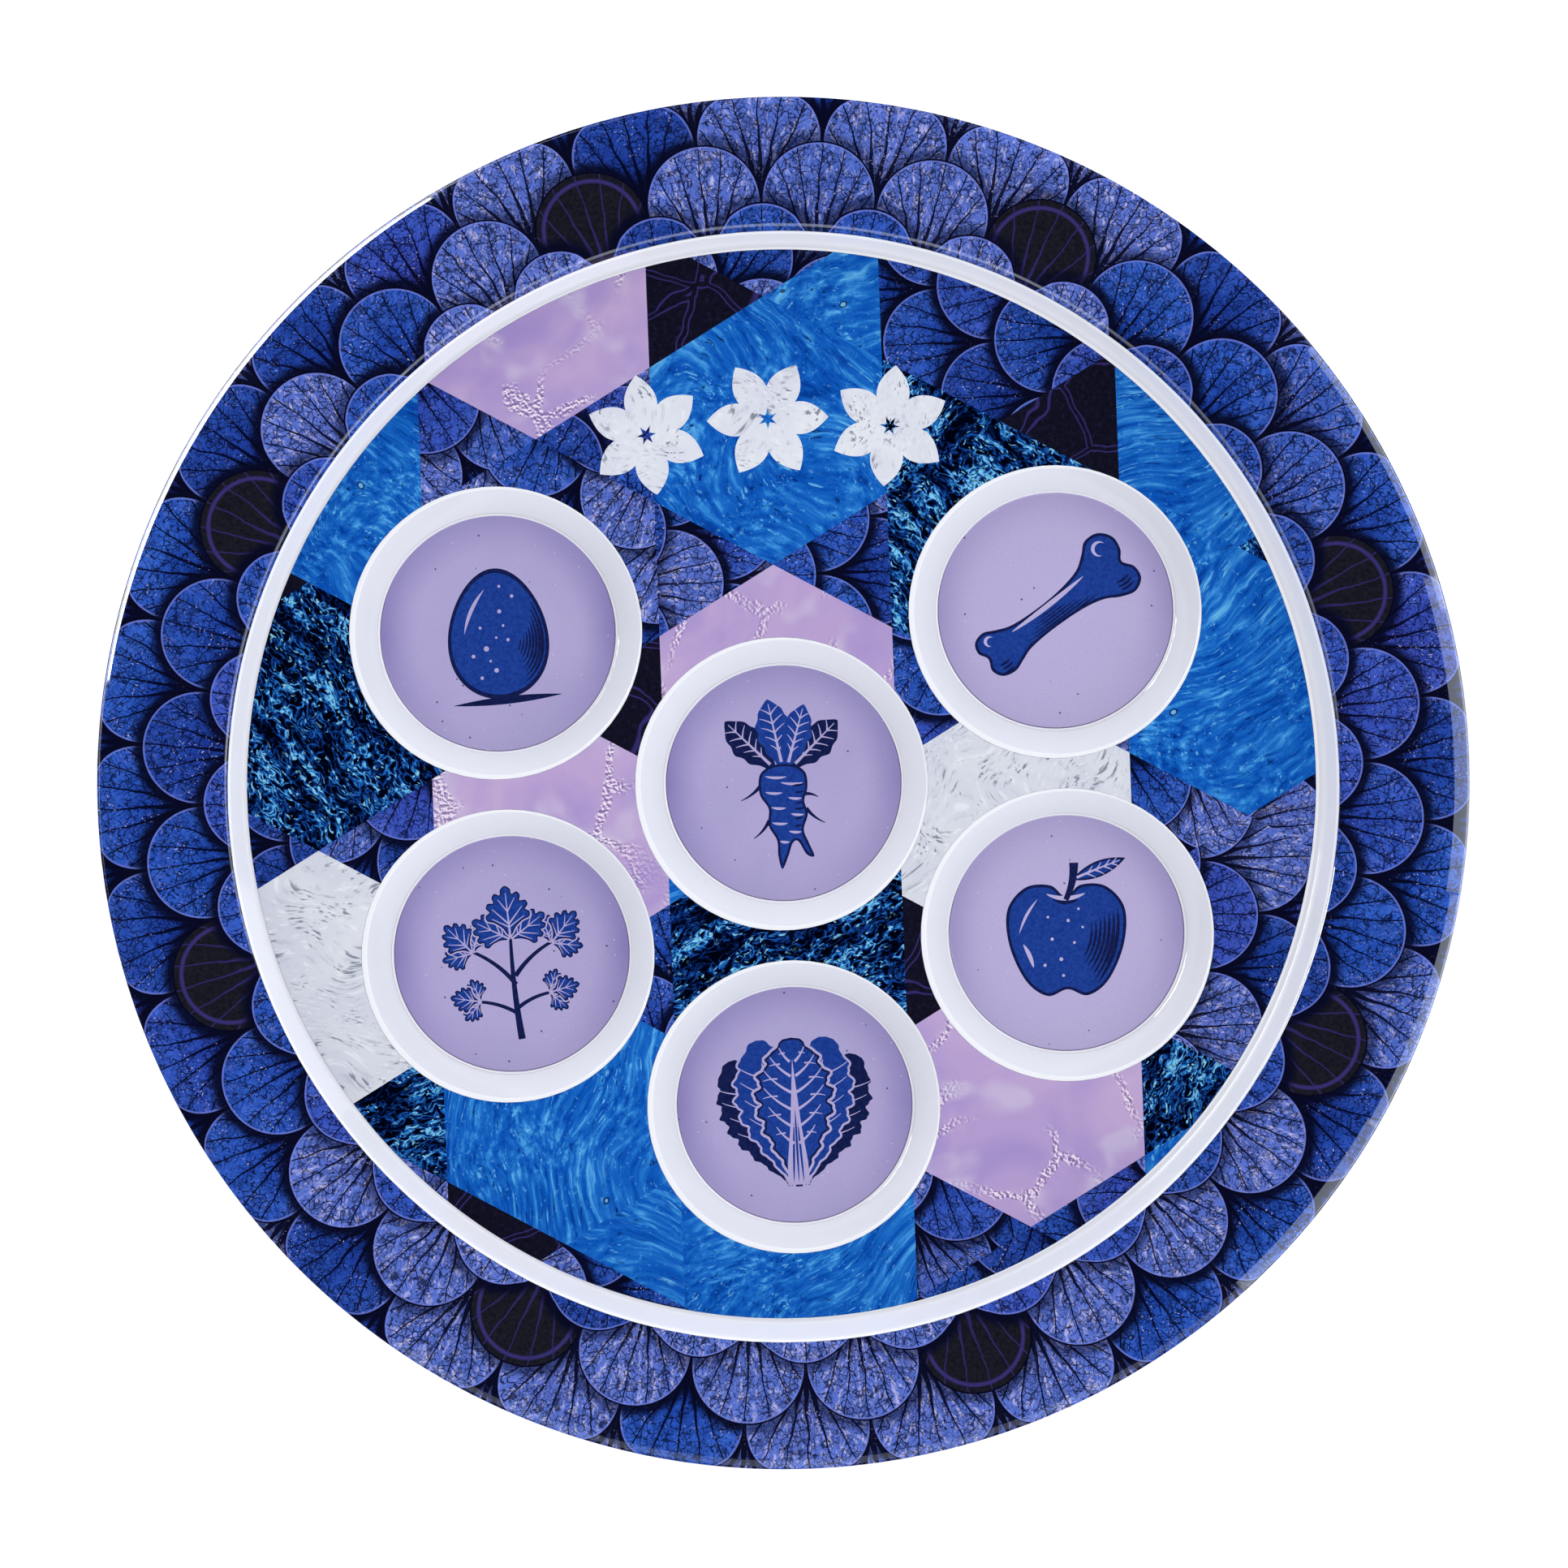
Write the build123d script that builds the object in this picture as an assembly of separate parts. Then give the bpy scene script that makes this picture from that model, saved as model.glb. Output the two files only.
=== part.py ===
from build123d import *

import math
import os

# Round seder plate: one compression-moulded white melamine body whose printed
# decoration is a set of separate resin-impregnated paper foils pressed flush
# into the face.  Millimetres, +Z up, origin at the centre of the foot ring's
# resting plane.

# ---------------------------------------------------------------- dimensions
PLATE_R = 152.5          # outer radius of the rim (plate is 305 mm across)
WALL_T = 2.6             # wall thickness of the moulding everywhere
FOIL_T = 0.20            # thickness of the printed foils

CENTRE_Z = 8.8           # face height of the flat centre field
CENTRE_FLAT_R = 120.1    # radius where the centre field starts to turn up
COVE_R = 1.0             # concave radius between centre field and step wall
STEP_ANGLE = 60.0        # slope of the step wall, degrees from horizontal
STEP_RISE = 6.3          # height of the rim's inner crest above the centre field
SHOULDER_R = 3.0         # convex radius where the step wall turns into the rim
RIM_SLOPE = 6.0          # the rim climbs outwards by this many degrees
LIP_R = 6.0              # convex radius of the turned-down lip
LIP_ANGLE = -45.0        # slope of the lip where its edge round starts

FOOT_IN_R = 109.6        # foot ring where it leaves the underside
FOOT_OUT_R = 113.6
FOOT_DRAFT = 0.5         # taper of each foot flank over its height
FOOT_EDGE_R = 0.5        # rounding of the foot's two lower edges

WELL_PCD_R = 72.2        # five outer wells lie on this radius
WELL_ANGLES = {          # position of each well on the face, degrees from +X
    "shank_bone": 30.0,
    "egg": 150.0,
    "parsley": 210.0,
    "lettuce": 270.0,
    "charoset": 330.0,
}
WELL_DEPTH = 5.5
WELL_FLOOR_R = 26.7      # sharp corner of floor and wall
WELL_MOUTH_R = 32.0      # sharp corner of wall and centre field
WELL_FLOOR_FILLET = 1.7
WELL_MOUTH_FILLET = 0.5
BOSS_EDGE_FILLET = 3.2   # outside rounding under each well
BOSS_ROOT_FILLET = 1.8   # where the well's outside meets the underside

CENTRE_FOIL_R = 119.45   # printed sheet of the centre field
CENTRE_FOIL_HOLE_R = 32.72
CENTRE_FOIL_SHIFT = (-0.42, -0.18)   # registration error of that sheet
RIM_FOIL_IN_R = 123.6    # the rim's sheet starts high on the step wall
RIM_FOIL_SHIFT = (0.0, -0.7)         # registration error of its inner edge
RIM_FOIL_END = -78.0     # and ends on the edge round at this surface slope
WELL_FOIL_R = 27.0       # the discs turn up a little into the corner of each well
WELL_FOIL_SHIFT = {      # each disc is laid in by hand, a little off centre
    "bitter_herbs": (0.07, -0.05),
    "shank_bone": (-0.05, 0.24),
    "egg": (-0.24, -0.16),
    "parsley": (0.16, 0.08),
    "lettuce": (-0.22, -0.08),
    "charoset": (-0.30, 0.02),
}

# ------------------------------------------------------------------- profile
# The face is a chain of tangent lines and arcs in the R-Z plane.  Each entry
# is (kind, start point, start heading, end point, end heading, radius); a
# positive radius turns left (concave), a negative one turns right (convex).


def run_line(p, heading, length):
    a = math.radians(heading)
    return (p[0] + length * math.cos(a), p[1] + length * math.sin(a))


def run_arc(p, h0, h1, radius):
    a0, a1 = math.radians(h0), math.radians(h1)
    return (
        p[0] + radius * (math.sin(a1) - math.sin(a0)),
        p[1] - radius * (math.cos(a1) - math.cos(a0)),
    )


def face_chain():
    chain = []
    p, h = (0.0, CENTRE_Z), 0.0

    def line(length):
        nonlocal p
        q = run_line(p, h, length)
        chain.append(("line", p, h, q, h, 0.0))
        p = q

    def arc(h1, radius):
        nonlocal p, h
        q = run_arc(p, h, h1, radius)
        chain.append(("arc", p, h, q, h1, radius))
        p, h = q, h1

    line(CENTRE_FLAT_R)
    arc(STEP_ANGLE, COVE_R)
    arc_rise = SHOULDER_R * (
        math.cos(math.radians(RIM_SLOPE)) - math.cos(math.radians(STEP_ANGLE))
    )
    straight = CENTRE_Z + STEP_RISE - arc_rise - p[1]
    line(straight / math.sin(math.radians(STEP_ANGLE)))
    arc(RIM_SLOPE, -SHOULDER_R)
    # The edge round has half the wall as its radius; its outermost point is PLATE_R.
    edge = WALL_T / 2
    lip_end_r = PLATE_R - edge * (1 + math.sin(math.radians(LIP_ANGLE)))
    lip_run = LIP_R * (
        math.sin(math.radians(RIM_SLOPE)) - math.sin(math.radians(LIP_ANGLE))
    )
    line((lip_end_r - lip_run - p[0]) / math.cos(math.radians(RIM_SLOPE)))
    arc(LIP_ANGLE, -LIP_R)
    arc(LIP_ANGLE - 180.0, -edge)
    return chain


def shifted(p, heading, d):
    """p moved by d to the left of its heading, which is out of the face."""
    a = math.radians(heading)
    return (p[0] - d * math.sin(a), p[1] + d * math.cos(a))


def as_edge(seg, d=0.0):
    """One chain entry as an edge in the XZ plane, offset by d off the face."""
    kind, p, h0, q, h1, radius = seg
    a, b = shifted(p, h0, d), shifted(q, h1, d)
    if kind == "line":
        return Line((a[0], 0, a[1]), (b[0], 0, b[1]))
    hm = (h0 + h1) / 2
    m = shifted(run_arc(p, h0, hm, radius), hm, d)
    return ThreePointArc((a[0], 0, a[1]), (m[0], 0, m[1]), (b[0], 0, b[1]))


def part_of(seg, h_from, h_to):
    """The stretch of an arc entry between two headings."""
    kind, p, h0, q, h1, radius = seg
    return (
        kind,
        run_arc(p, h0, h_from, radius),
        h_from,
        run_arc(p, h0, h_to, radius),
        h_to,
        radius,
    )


def joined(a, b):
    return Line((a[0], 0, a[1]), (b[0], 0, b[1]))


def turned(edges):
    """Revolves a closed R-Z outline about the plate's axis."""
    return revolve(make_face(edges), Axis.Z, 360)


CHAIN = face_chain()
FLAT, COVE, STEP, SHOULDER, RIM, LIP, EDGE = CHAIN

# ---------------------------------------------------------------- plate body
under = [as_edge(s, -WALL_T) for s in (FLAT, COVE, STEP, SHOULDER, RIM, LIP)]
body = turned(
    [as_edge(s) for s in CHAIN]
    + under
    + [joined((0.0, CENTRE_Z - WALL_T), (0.0, CENTRE_Z))]
)

# Foot ring: a drafted ring under the outer part of the centre field.
under_z = CENTRE_Z - WALL_T
sunk = 1.2               # overlap into the wall so that the union is clean
foot = turned(
    [
        joined((FOOT_IN_R, under_z + sunk), (FOOT_OUT_R, under_z + sunk)),
        joined((FOOT_OUT_R, under_z + sunk), (FOOT_OUT_R, under_z)),
        joined((FOOT_OUT_R, under_z), (FOOT_OUT_R - FOOT_DRAFT, 0.0)),
        joined((FOOT_OUT_R - FOOT_DRAFT, 0.0), (FOOT_IN_R + FOOT_DRAFT, 0.0)),
        joined((FOOT_IN_R + FOOT_DRAFT, 0.0), (FOOT_IN_R, under_z)),
        joined((FOOT_IN_R, under_z), (FOOT_IN_R, under_z + sunk)),
    ]
)
body = body + foot
foot_edges = [
    e
    for e in body.edges().filter_by(GeomType.CIRCLE)
    if abs(e.center(CenterOf.BOUNDING_BOX).Z) < 1e-6 and e.radius > 100
]
body = fillet(foot_edges, FOOT_EDGE_R)
root_edges = [
    e
    for e in body.edges().filter_by(GeomType.CIRCLE)
    if abs(e.center(CenterOf.BOUNDING_BOX).Z - under_z) < 1e-6
    and (abs(e.radius - FOOT_IN_R) < 1e-3 or abs(e.radius - FOOT_OUT_R) < 1e-3)
]
body = fillet(root_edges, 1.0)

# Wells: a drafted cup let down through the centre field, with its own floor.
floor_z = CENTRE_Z - WELL_DEPTH
wall_angle = math.atan2(WELL_DEPTH, WELL_MOUTH_R - WELL_FLOOR_R)
side = WALL_T / math.sin(wall_angle)       # wall thickness measured level
slope = (WELL_MOUTH_R - WELL_FLOOR_R) / WELL_DEPTH


def cup_r(z):
    """Inside radius of a well's straight wall at height z."""
    return WELL_FLOOR_R + (z - floor_z) * slope


def well_outside():
    low, high = floor_z - WALL_T, under_z + sunk
    cup = Solid.make_cone(cup_r(low) + side, cup_r(high) + side, high - low)
    return Pos(0, 0, low) * Part(cup.wrapped)


def well_inside():
    tall = 4.0
    cone = Solid.make_cone(WELL_FLOOR_R, cup_r(CENTRE_Z + tall), WELL_DEPTH + tall)
    return Pos(0, 0, floor_z) * Part(cone.wrapped)


WELLS = {"bitter_herbs": (0.0, 0.0)}
for name, angle in WELL_ANGLES.items():
    a = math.radians(angle)
    WELLS[name] = (WELL_PCD_R * math.cos(a), WELL_PCD_R * math.sin(a))


def ring_at(shape, z, radius, centre):
    """The shape's circular edges of that height, radius and centre."""
    found = []
    for e in shape.edges().filter_by(GeomType.CIRCLE):
        c = e.arc_center
        if (
            abs(c.Z - z) < 1e-4
            and abs(e.radius - radius) < 1e-3
            and math.hypot(c.X - centre[0], c.Y - centre[1]) < 1e-3
        ):
            found.append(e)
    return found


for x, y in WELLS.values():
    body = body + Pos(x, y, 0) * well_outside()
for x, y in WELLS.values():
    body = body - Pos(x, y, 0) * well_inside()
body = Part(body.solids()[0].wrapped)
for radius, z, size in (
    (cup_r(under_z) + side, under_z, BOSS_ROOT_FILLET),
    (cup_r(floor_z - WALL_T) + side, floor_z - WALL_T, BOSS_EDGE_FILLET),
    (WELL_FLOOR_R, floor_z, WELL_FLOOR_FILLET),
    (WELL_MOUTH_R, CENTRE_Z, WELL_MOUTH_FILLET),
):
    rings = [e for c in WELLS.values() for e in ring_at(body, z, radius, c)]
    assert len(rings) == len(WELLS), (radius, z, len(rings))
    body = fillet(rings, size)

# --------------------------------------------------------------------- foils
# Rim foil: a skin on the face from high on the step wall, over the shoulder and
# the rim, round the lip to the edge.
edge_part = part_of(EDGE, LIP_ANGLE, RIM_FOIL_END)
skin_segs = [STEP, SHOULDER, RIM, LIP, edge_part]


def skin(top, bottom):
    first, last = skin_segs[0], skin_segs[-1]
    lo = [as_edge(s, bottom) for s in skin_segs]
    hi = [as_edge(s, top) for s in skin_segs]
    return turned(
        lo
        + hi
        + [
            joined(shifted(first[1], first[2], bottom), shifted(first[1], first[2], top)),
            joined(shifted(last[3], last[4], bottom), shifted(last[3], last[4], top)),
        ]
    )


bore = Pos(*RIM_FOIL_SHIFT, -5) * Cylinder(
    RIM_FOIL_IN_R, 40, align=(Align.CENTER, Align.CENTER, Align.MIN)
)
rim_foil = skin(0.0, -FOIL_T) - bore
body = body - (skin(0.8, -FOIL_T) - bore)


def disc(x, y, radius, z, height):
    return Pos(x, y, z) * Cylinder(
        radius, height, align=(Align.CENTER, Align.CENTER, Align.MIN)
    )


def centre_sheet(height):
    sx, sy = CENTRE_FOIL_SHIFT
    sheet = disc(sx, sy, CENTRE_FOIL_R, CENTRE_Z - FOIL_T, height)
    for x, y in WELLS.values():
        sheet = sheet - disc(
            x + sx, y + sy, CENTRE_FOIL_HOLE_R, CENTRE_Z - FOIL_T - 1, height + 2
        )
    return sheet


centre_foil = centre_sheet(FOIL_T)
body = body - centre_sheet(FOIL_T + 0.8)



def well_skin(top, bottom):
    """Floor, corner round and foot of the wall of a well, between two offsets off its face."""
    slant = math.degrees(wall_angle)
    back = WELL_FLOOR_FILLET * math.tan(wall_angle / 2)
    p0 = (0.0, floor_z)
    p1 = (WELL_FLOOR_R - back, floor_z)
    p2 = run_arc(p1, 0.0, slant, WELL_FLOOR_FILLET)
    p3 = run_line(p2, slant, 1.0)
    segs = [
        ("line", p0, 0.0, p1, 0.0, 0.0),
        ("arc", p1, 0.0, p2, slant, WELL_FLOOR_FILLET),
        ("line", p2, slant, p3, slant, 0.0),
    ]
    return turned(
        [as_edge(s, bottom) for s in segs]
        + [as_edge(s, top) for s in segs]
        + [
            joined((0.0, floor_z + bottom), (0.0, floor_z + top)),
            joined(shifted(p3, slant, bottom), shifted(p3, slant, top)),
        ]
    )


well_foils = {}
for name, (x, y) in WELLS.items():
    dx, dy = WELL_FOIL_SHIFT[name]
    outline = disc(x + dx, y + dy, WELL_FOIL_R, floor_z - 1.0, 4.0)
    well_foils[name] = (Pos(x, y, 0) * well_skin(0.0, -FOIL_T)) & outline
    body = body - ((Pos(x, y, 0) * well_skin(0.8, -FOIL_T)) & outline)

# -------------------------------------------------------------------- output
nodes = {
    "plate_body": body,
    "rim_print_foil": rim_foil,
    "centre_print_foil": centre_foil,
}
for name, shape in well_foils.items():
    nodes[name + "_well_foil"] = shape

os.makedirs("parts", exist_ok=True)
for name, shape in nodes.items():
    export_step(shape, os.path.join("parts", name + ".step"))
    box = shape.bounding_box()
    print(
        f"{name:26s} solids {len(shape.solids())}  volume {shape.volume:10.1f} mm3  "
        f"z {box.min.Z:.3f} to {box.max.Z:.3f}  across {box.size.X:.2f}"
    )
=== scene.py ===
import math
import random

import bpy
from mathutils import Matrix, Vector
from mathutils.geometry import delaunay_2d_cdt


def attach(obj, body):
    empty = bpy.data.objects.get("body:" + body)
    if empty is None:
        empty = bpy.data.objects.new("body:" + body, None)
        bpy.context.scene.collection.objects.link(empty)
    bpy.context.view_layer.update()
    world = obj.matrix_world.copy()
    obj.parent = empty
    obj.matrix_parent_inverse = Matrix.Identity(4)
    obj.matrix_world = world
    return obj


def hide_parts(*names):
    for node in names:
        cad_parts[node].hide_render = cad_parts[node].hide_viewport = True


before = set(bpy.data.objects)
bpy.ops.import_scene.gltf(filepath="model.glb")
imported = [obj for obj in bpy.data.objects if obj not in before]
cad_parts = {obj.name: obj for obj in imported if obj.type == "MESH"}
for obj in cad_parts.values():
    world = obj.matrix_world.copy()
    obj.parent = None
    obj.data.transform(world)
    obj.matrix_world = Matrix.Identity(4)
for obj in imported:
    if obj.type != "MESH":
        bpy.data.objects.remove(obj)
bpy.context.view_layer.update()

MM = 0.001

# ------------------------------------------------------------------ numbers
# Millimetres, in the model's own frame: +Z up, +Y to the top of the face.
CENTRE_Z, CENTRE_FLAT_R, COVE_R = 8.8, 120.1, 1.0
STEP_A, STEP_RISE, SHOULDER_R = 60.0, 6.3, 3.0
RIM_SLOPE, LIP_R, LIP_A = 6.0, 6.0, -45.0
EDGE_R, PLATE_R, FOIL_T = 1.3, 152.5, 0.2
FLOOR_Z = 3.3
WELL_FLOOR_R, WELL_MOUTH_R, WELL_DEPTH, WELL_ROUND = 26.7, 32.0, 5.5, 1.7
WELL_PCD = 72.2
WELLS = {
    "bitter_herbs": (0.0, 0.0),
    "shank_bone": (WELL_PCD * math.cos(math.radians(30)), WELL_PCD * 0.5),
    "egg": (-WELL_PCD * math.cos(math.radians(30)), WELL_PCD * 0.5),
    "parsley": (-WELL_PCD * math.cos(math.radians(30)), -WELL_PCD * 0.5),
    "lettuce": (0.0, -WELL_PCD),
    "charoset": (WELL_PCD * math.cos(math.radians(30)), -WELL_PCD * 0.5),
}
WELL_SHIFT = {
    "bitter_herbs": (0.07, -0.05),
    "shank_bone": (-0.05, 0.24),
    "egg": (-0.24, -0.16),
    "parsley": (0.16, 0.08),
    "lettuce": (-0.22, -0.08),
    "charoset": (-0.30, 0.02),
}
# Each disc is laid in by hand, so it is also turned a little.
WELL_TURN = {
    "bitter_herbs": 0.8,
    "shank_bone": -1.4,
    "egg": 1.9,
    "parsley": 2.6,
    "lettuce": 1.2,
    "charoset": -0.9,
}
SHEET_SHIFT = (-0.42, -0.18)
# The foils stand a hair inside their pockets.
SHEET_R, SHEET_HOLE_R, DISC_R, RIM_IN_R = 119.35, 32.75, 26.94, 123.63
RIM_SHIFT = (0.0, -0.7)


LIGHT = 1.10                              # how bright the studio light makes a flat white face


def lin(c):
    """Linear surface colour that shows as this 8-bit sRGB colour under the studio light."""
    f = [v / 255 for v in c]
    f = [v / 12.92 if v <= 0.04045 else ((v + 0.055) / 1.055) ** 2.4 for v in f]
    return tuple(v / LIGHT for v in f) + (1.0,)


# ------------------------------------------------------------------ shaders
class Shader:
    """A material under construction: short calls that add nodes and return sockets."""

    def __init__(self, name):
        self.mat = bpy.data.materials.new(name)
        self.mat.use_nodes = True
        self.tree = self.mat.node_tree
        self.tree.nodes.clear()
        self.out = self.tree.nodes.new("ShaderNodeOutputMaterial")
        self.bsdf = self.tree.nodes.new("ShaderNodeBsdfPrincipled")
        self.tree.links.new(self.bsdf.outputs[0], self.out.inputs[0])
        self._mm = None

    def node(self, kind, **props):
        n = self.tree.nodes.new(kind)
        for k, v in props.items():
            setattr(n, k, v)
        return n

    def put(self, socket, value):
        if isinstance(value, bpy.types.NodeSocket):
            self.tree.links.new(value, socket)
        else:
            socket.default_value = value

    def math(self, op, a, b=None, c=None, clamp=False):
        n = self.node("ShaderNodeMath", operation=op, use_clamp=clamp)
        for i, v in enumerate((a, b, c)):
            if v is not None:
                self.put(n.inputs[i], v)
        return n.outputs[0]

    def add(self, a, b):
        return self.math("ADD", a, b)

    def sub(self, a, b):
        return self.math("SUBTRACT", a, b)

    def mul(self, a, b):
        return self.math("MULTIPLY", a, b)

    def vec(self, op, a, b=None, scale=None):
        n = self.node("ShaderNodeVectorMath", operation=op)
        self.put(n.inputs[0], a)
        if b is not None:
            self.put(n.inputs[1], b)
        if scale is not None:
            self.put(n.inputs["Scale"], scale)
        return n.outputs["Value"] if op in ("LENGTH", "DISTANCE", "DOT_PRODUCT") else n.outputs["Vector"]

    def xyz(self, v):
        n = self.node("ShaderNodeSeparateXYZ")
        self.put(n.inputs[0], v)
        return n.outputs[0], n.outputs[1], n.outputs[2]

    def join(self, x, y, z=0.0):
        n = self.node("ShaderNodeCombineXYZ")
        for i, v in enumerate((x, y, z)):
            self.put(n.inputs[i], v)
        return n.outputs[0]

    def mix(self, fac, a, b, blend="MIX"):
        n = self.node("ShaderNodeMix", data_type="RGBA", blend_type=blend)
        self.put(n.inputs[0], fac)
        self.put(n.inputs[6], a)
        self.put(n.inputs[7], b)
        return n.outputs[2]

    def ramp(self, fac, stops):
        n = self.node("ShaderNodeValToRGB")
        e = n.color_ramp.elements
        while len(e) < len(stops):
            e.new(0.5)
        for el, (pos, col) in zip(e, stops):
            el.position = pos
            el.color = lin(col)
        self.put(n.inputs[0], fac)
        return n.outputs[0]

    def step(self, x, lo, hi):
        """0 to 1 smoothly as x goes from lo to hi, or 1 to 0 where lo is the larger."""
        n = self.node("ShaderNodeMapRange", interpolation_type="SMOOTHSTEP", clamp=True)
        self.put(n.inputs[0], x)
        self.put(n.inputs[1], lo)
        self.put(n.inputs[2], hi)
        return n.outputs[0]

    def noise(self, v, scale, detail=2.0, rough=0.5, warp=0.0, colour=False):
        n = self.node("ShaderNodeTexNoise")
        self.put(n.inputs["Vector"], v)
        n.inputs["Scale"].default_value = scale
        n.inputs["Detail"].default_value = detail
        n.inputs["Roughness"].default_value = rough
        n.inputs["Distortion"].default_value = warp
        return n.outputs["Color"] if colour else n.outputs[0]

    def cells(self, v, scale, feature="F1", rnd=1.0, out="Distance"):
        n = self.node("ShaderNodeTexVoronoi", feature=feature)
        self.put(n.inputs["Vector"], v)
        n.inputs["Scale"].default_value = scale
        n.inputs["Randomness"].default_value = rnd
        return n.outputs[out]

    def mm(self):
        """The point on the object, in millimetres."""
        if self._mm is None:
            c = self.node("ShaderNodeTexCoord")
            self._mm = self.vec("SCALE", c.outputs["Object"], scale=1000.0)
        return self._mm

    def uv(self, name="Print"):
        n = self.node("ShaderNodeUVMap")
        n.uv_map = name
        return n.outputs[0]

    def attr(self, name):
        n = self.node("ShaderNodeAttribute", attribute_name=name)
        return n.outputs["Fac"]

    def warped(self, v, scale, amount, detail=2.0):
        """v pushed about by noise, by up to about amount."""
        n = self.noise(v, scale, detail, colour=True)
        n = self.vec("SUBTRACT", n, (0.5, 0.5, 0.5))
        return self.vec("ADD", v, self.vec("SCALE", n, scale=2 * amount))

    def shade(self, colour, k):
        """Colour times a number."""
        return self.vec("SCALE", colour, scale=k)

    def grain(self, colour, per_mm, amount, v=None):
        """Fine paper grain: lighter and darker by up to about amount."""
        n = self.noise(v or self.mm(), per_mm, 2.0, 0.6)
        return self.shade(colour, self.add(1.0 - amount, self.mul(n, 2 * amount)))

    def specks(self, colour, per_mm, level, ink, amount):
        """Tiny dots where a fine noise falls below level."""
        spot = self.step(self.noise(self.mm(), per_mm, 0.0), level, level - 0.05)
        return self.mix(self.mul(spot, amount), colour, lin(ink))

    def dots(self, colour, cell, size, keep, ink, amount=1.0):
        """Sparse round dots: one per cell of that many millimetres, kept where its random value is over keep."""
        n = self.node("ShaderNodeTexVoronoi", feature="F1")
        self.put(n.inputs["Vector"], self.mm())
        n.inputs["Scale"].default_value = 1.0 / cell
        near = self.step(n.outputs["Distance"], size / cell, 0.6 * size / cell)
        r, _, _ = self.xyz(n.outputs["Color"])
        return self.mix(self.mul(self.mul(near, self.step(r, keep, keep + 0.01)), amount), colour, lin(ink))

    def finish(self, colour, rough=(0.03, 0.06), peel=1.6e-6):
        """Gloss over the colour: a clear hard coat with a faint orange peel and uneven polish."""
        b = self.bsdf
        self.put(b.inputs["Base Color"], colour)
        wear = self.noise(self.mm(), 0.09, 3.0, 0.6)
        n = self.node("ShaderNodeMapRange")
        self.put(n.inputs[0], wear)
        n.inputs[1].default_value, n.inputs[2].default_value = 0.3, 0.7
        n.inputs[3].default_value, n.inputs[4].default_value = rough
        self.put(b.inputs["Roughness"], n.outputs[0])
        b.inputs["IOR"].default_value = 1.62
        bump = self.node("ShaderNodeBump")
        bump.inputs["Strength"].default_value = 1.0
        bump.inputs["Distance"].default_value = peel
        self.put(bump.inputs["Height"], self.noise(self.mm(), 0.2, 1.0, 0.5))
        self.put(b.inputs["Normal"], bump.outputs[0])
        return self.mat


def melamine():
    s = Shader("white_melamine_gloss_painted_light")
    v = s.mm()
    cloud = s.noise(v, 0.03, 3.0, 0.55)
    c = s.ramp(cloud, [(0.3, (221, 223, 233)), (0.7, (225, 227, 236))])
    c = s.grain(c, 1.6, 0.012)
    flat = s.vec("MULTIPLY", v, (1.0, 1.0, 0.0))
    far = s.vec("LENGTH", flat)
    # Painted light: the body drawn 6 % lighter from the foot of the step wall outwards.
    c = s.mix(s.step(far, 118.4, 119.0), c, s.shade(c, 1.06))
    # Painted highlight lines along the edges where the printed foils end.
    well = None
    for wx, wy in WELLS.values():
        d = s.vec("DISTANCE", flat, (wx, wy, 0.0))
        well = d if well is None else s.math("MINIMUM", well, d)
    rim = s.vec("DISTANCE", flat, (RIM_SHIFT[0], RIM_SHIFT[1], 0.0))
    edge = s.mul(s.mul(s.step(well, 31.75, 32.0), s.step(well, 33.1, 32.9)), 0.75)
    edge = s.math("MAXIMUM", edge, s.mul(s.step(far, 119.75, 119.6), s.step(far, 118.9, 119.1)))
    edge = s.math("MAXIMUM", edge, s.step(rim, 123.0, 123.2))
    c = s.mix(s.mul(edge, s.step(far, 126.0, 125.0)), c, lin((248, 250, 255)))
    c = s.dots(c, 9.0, 0.16, 0.80, (90, 92, 105), 0.7)
    return s.finish(c)


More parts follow.
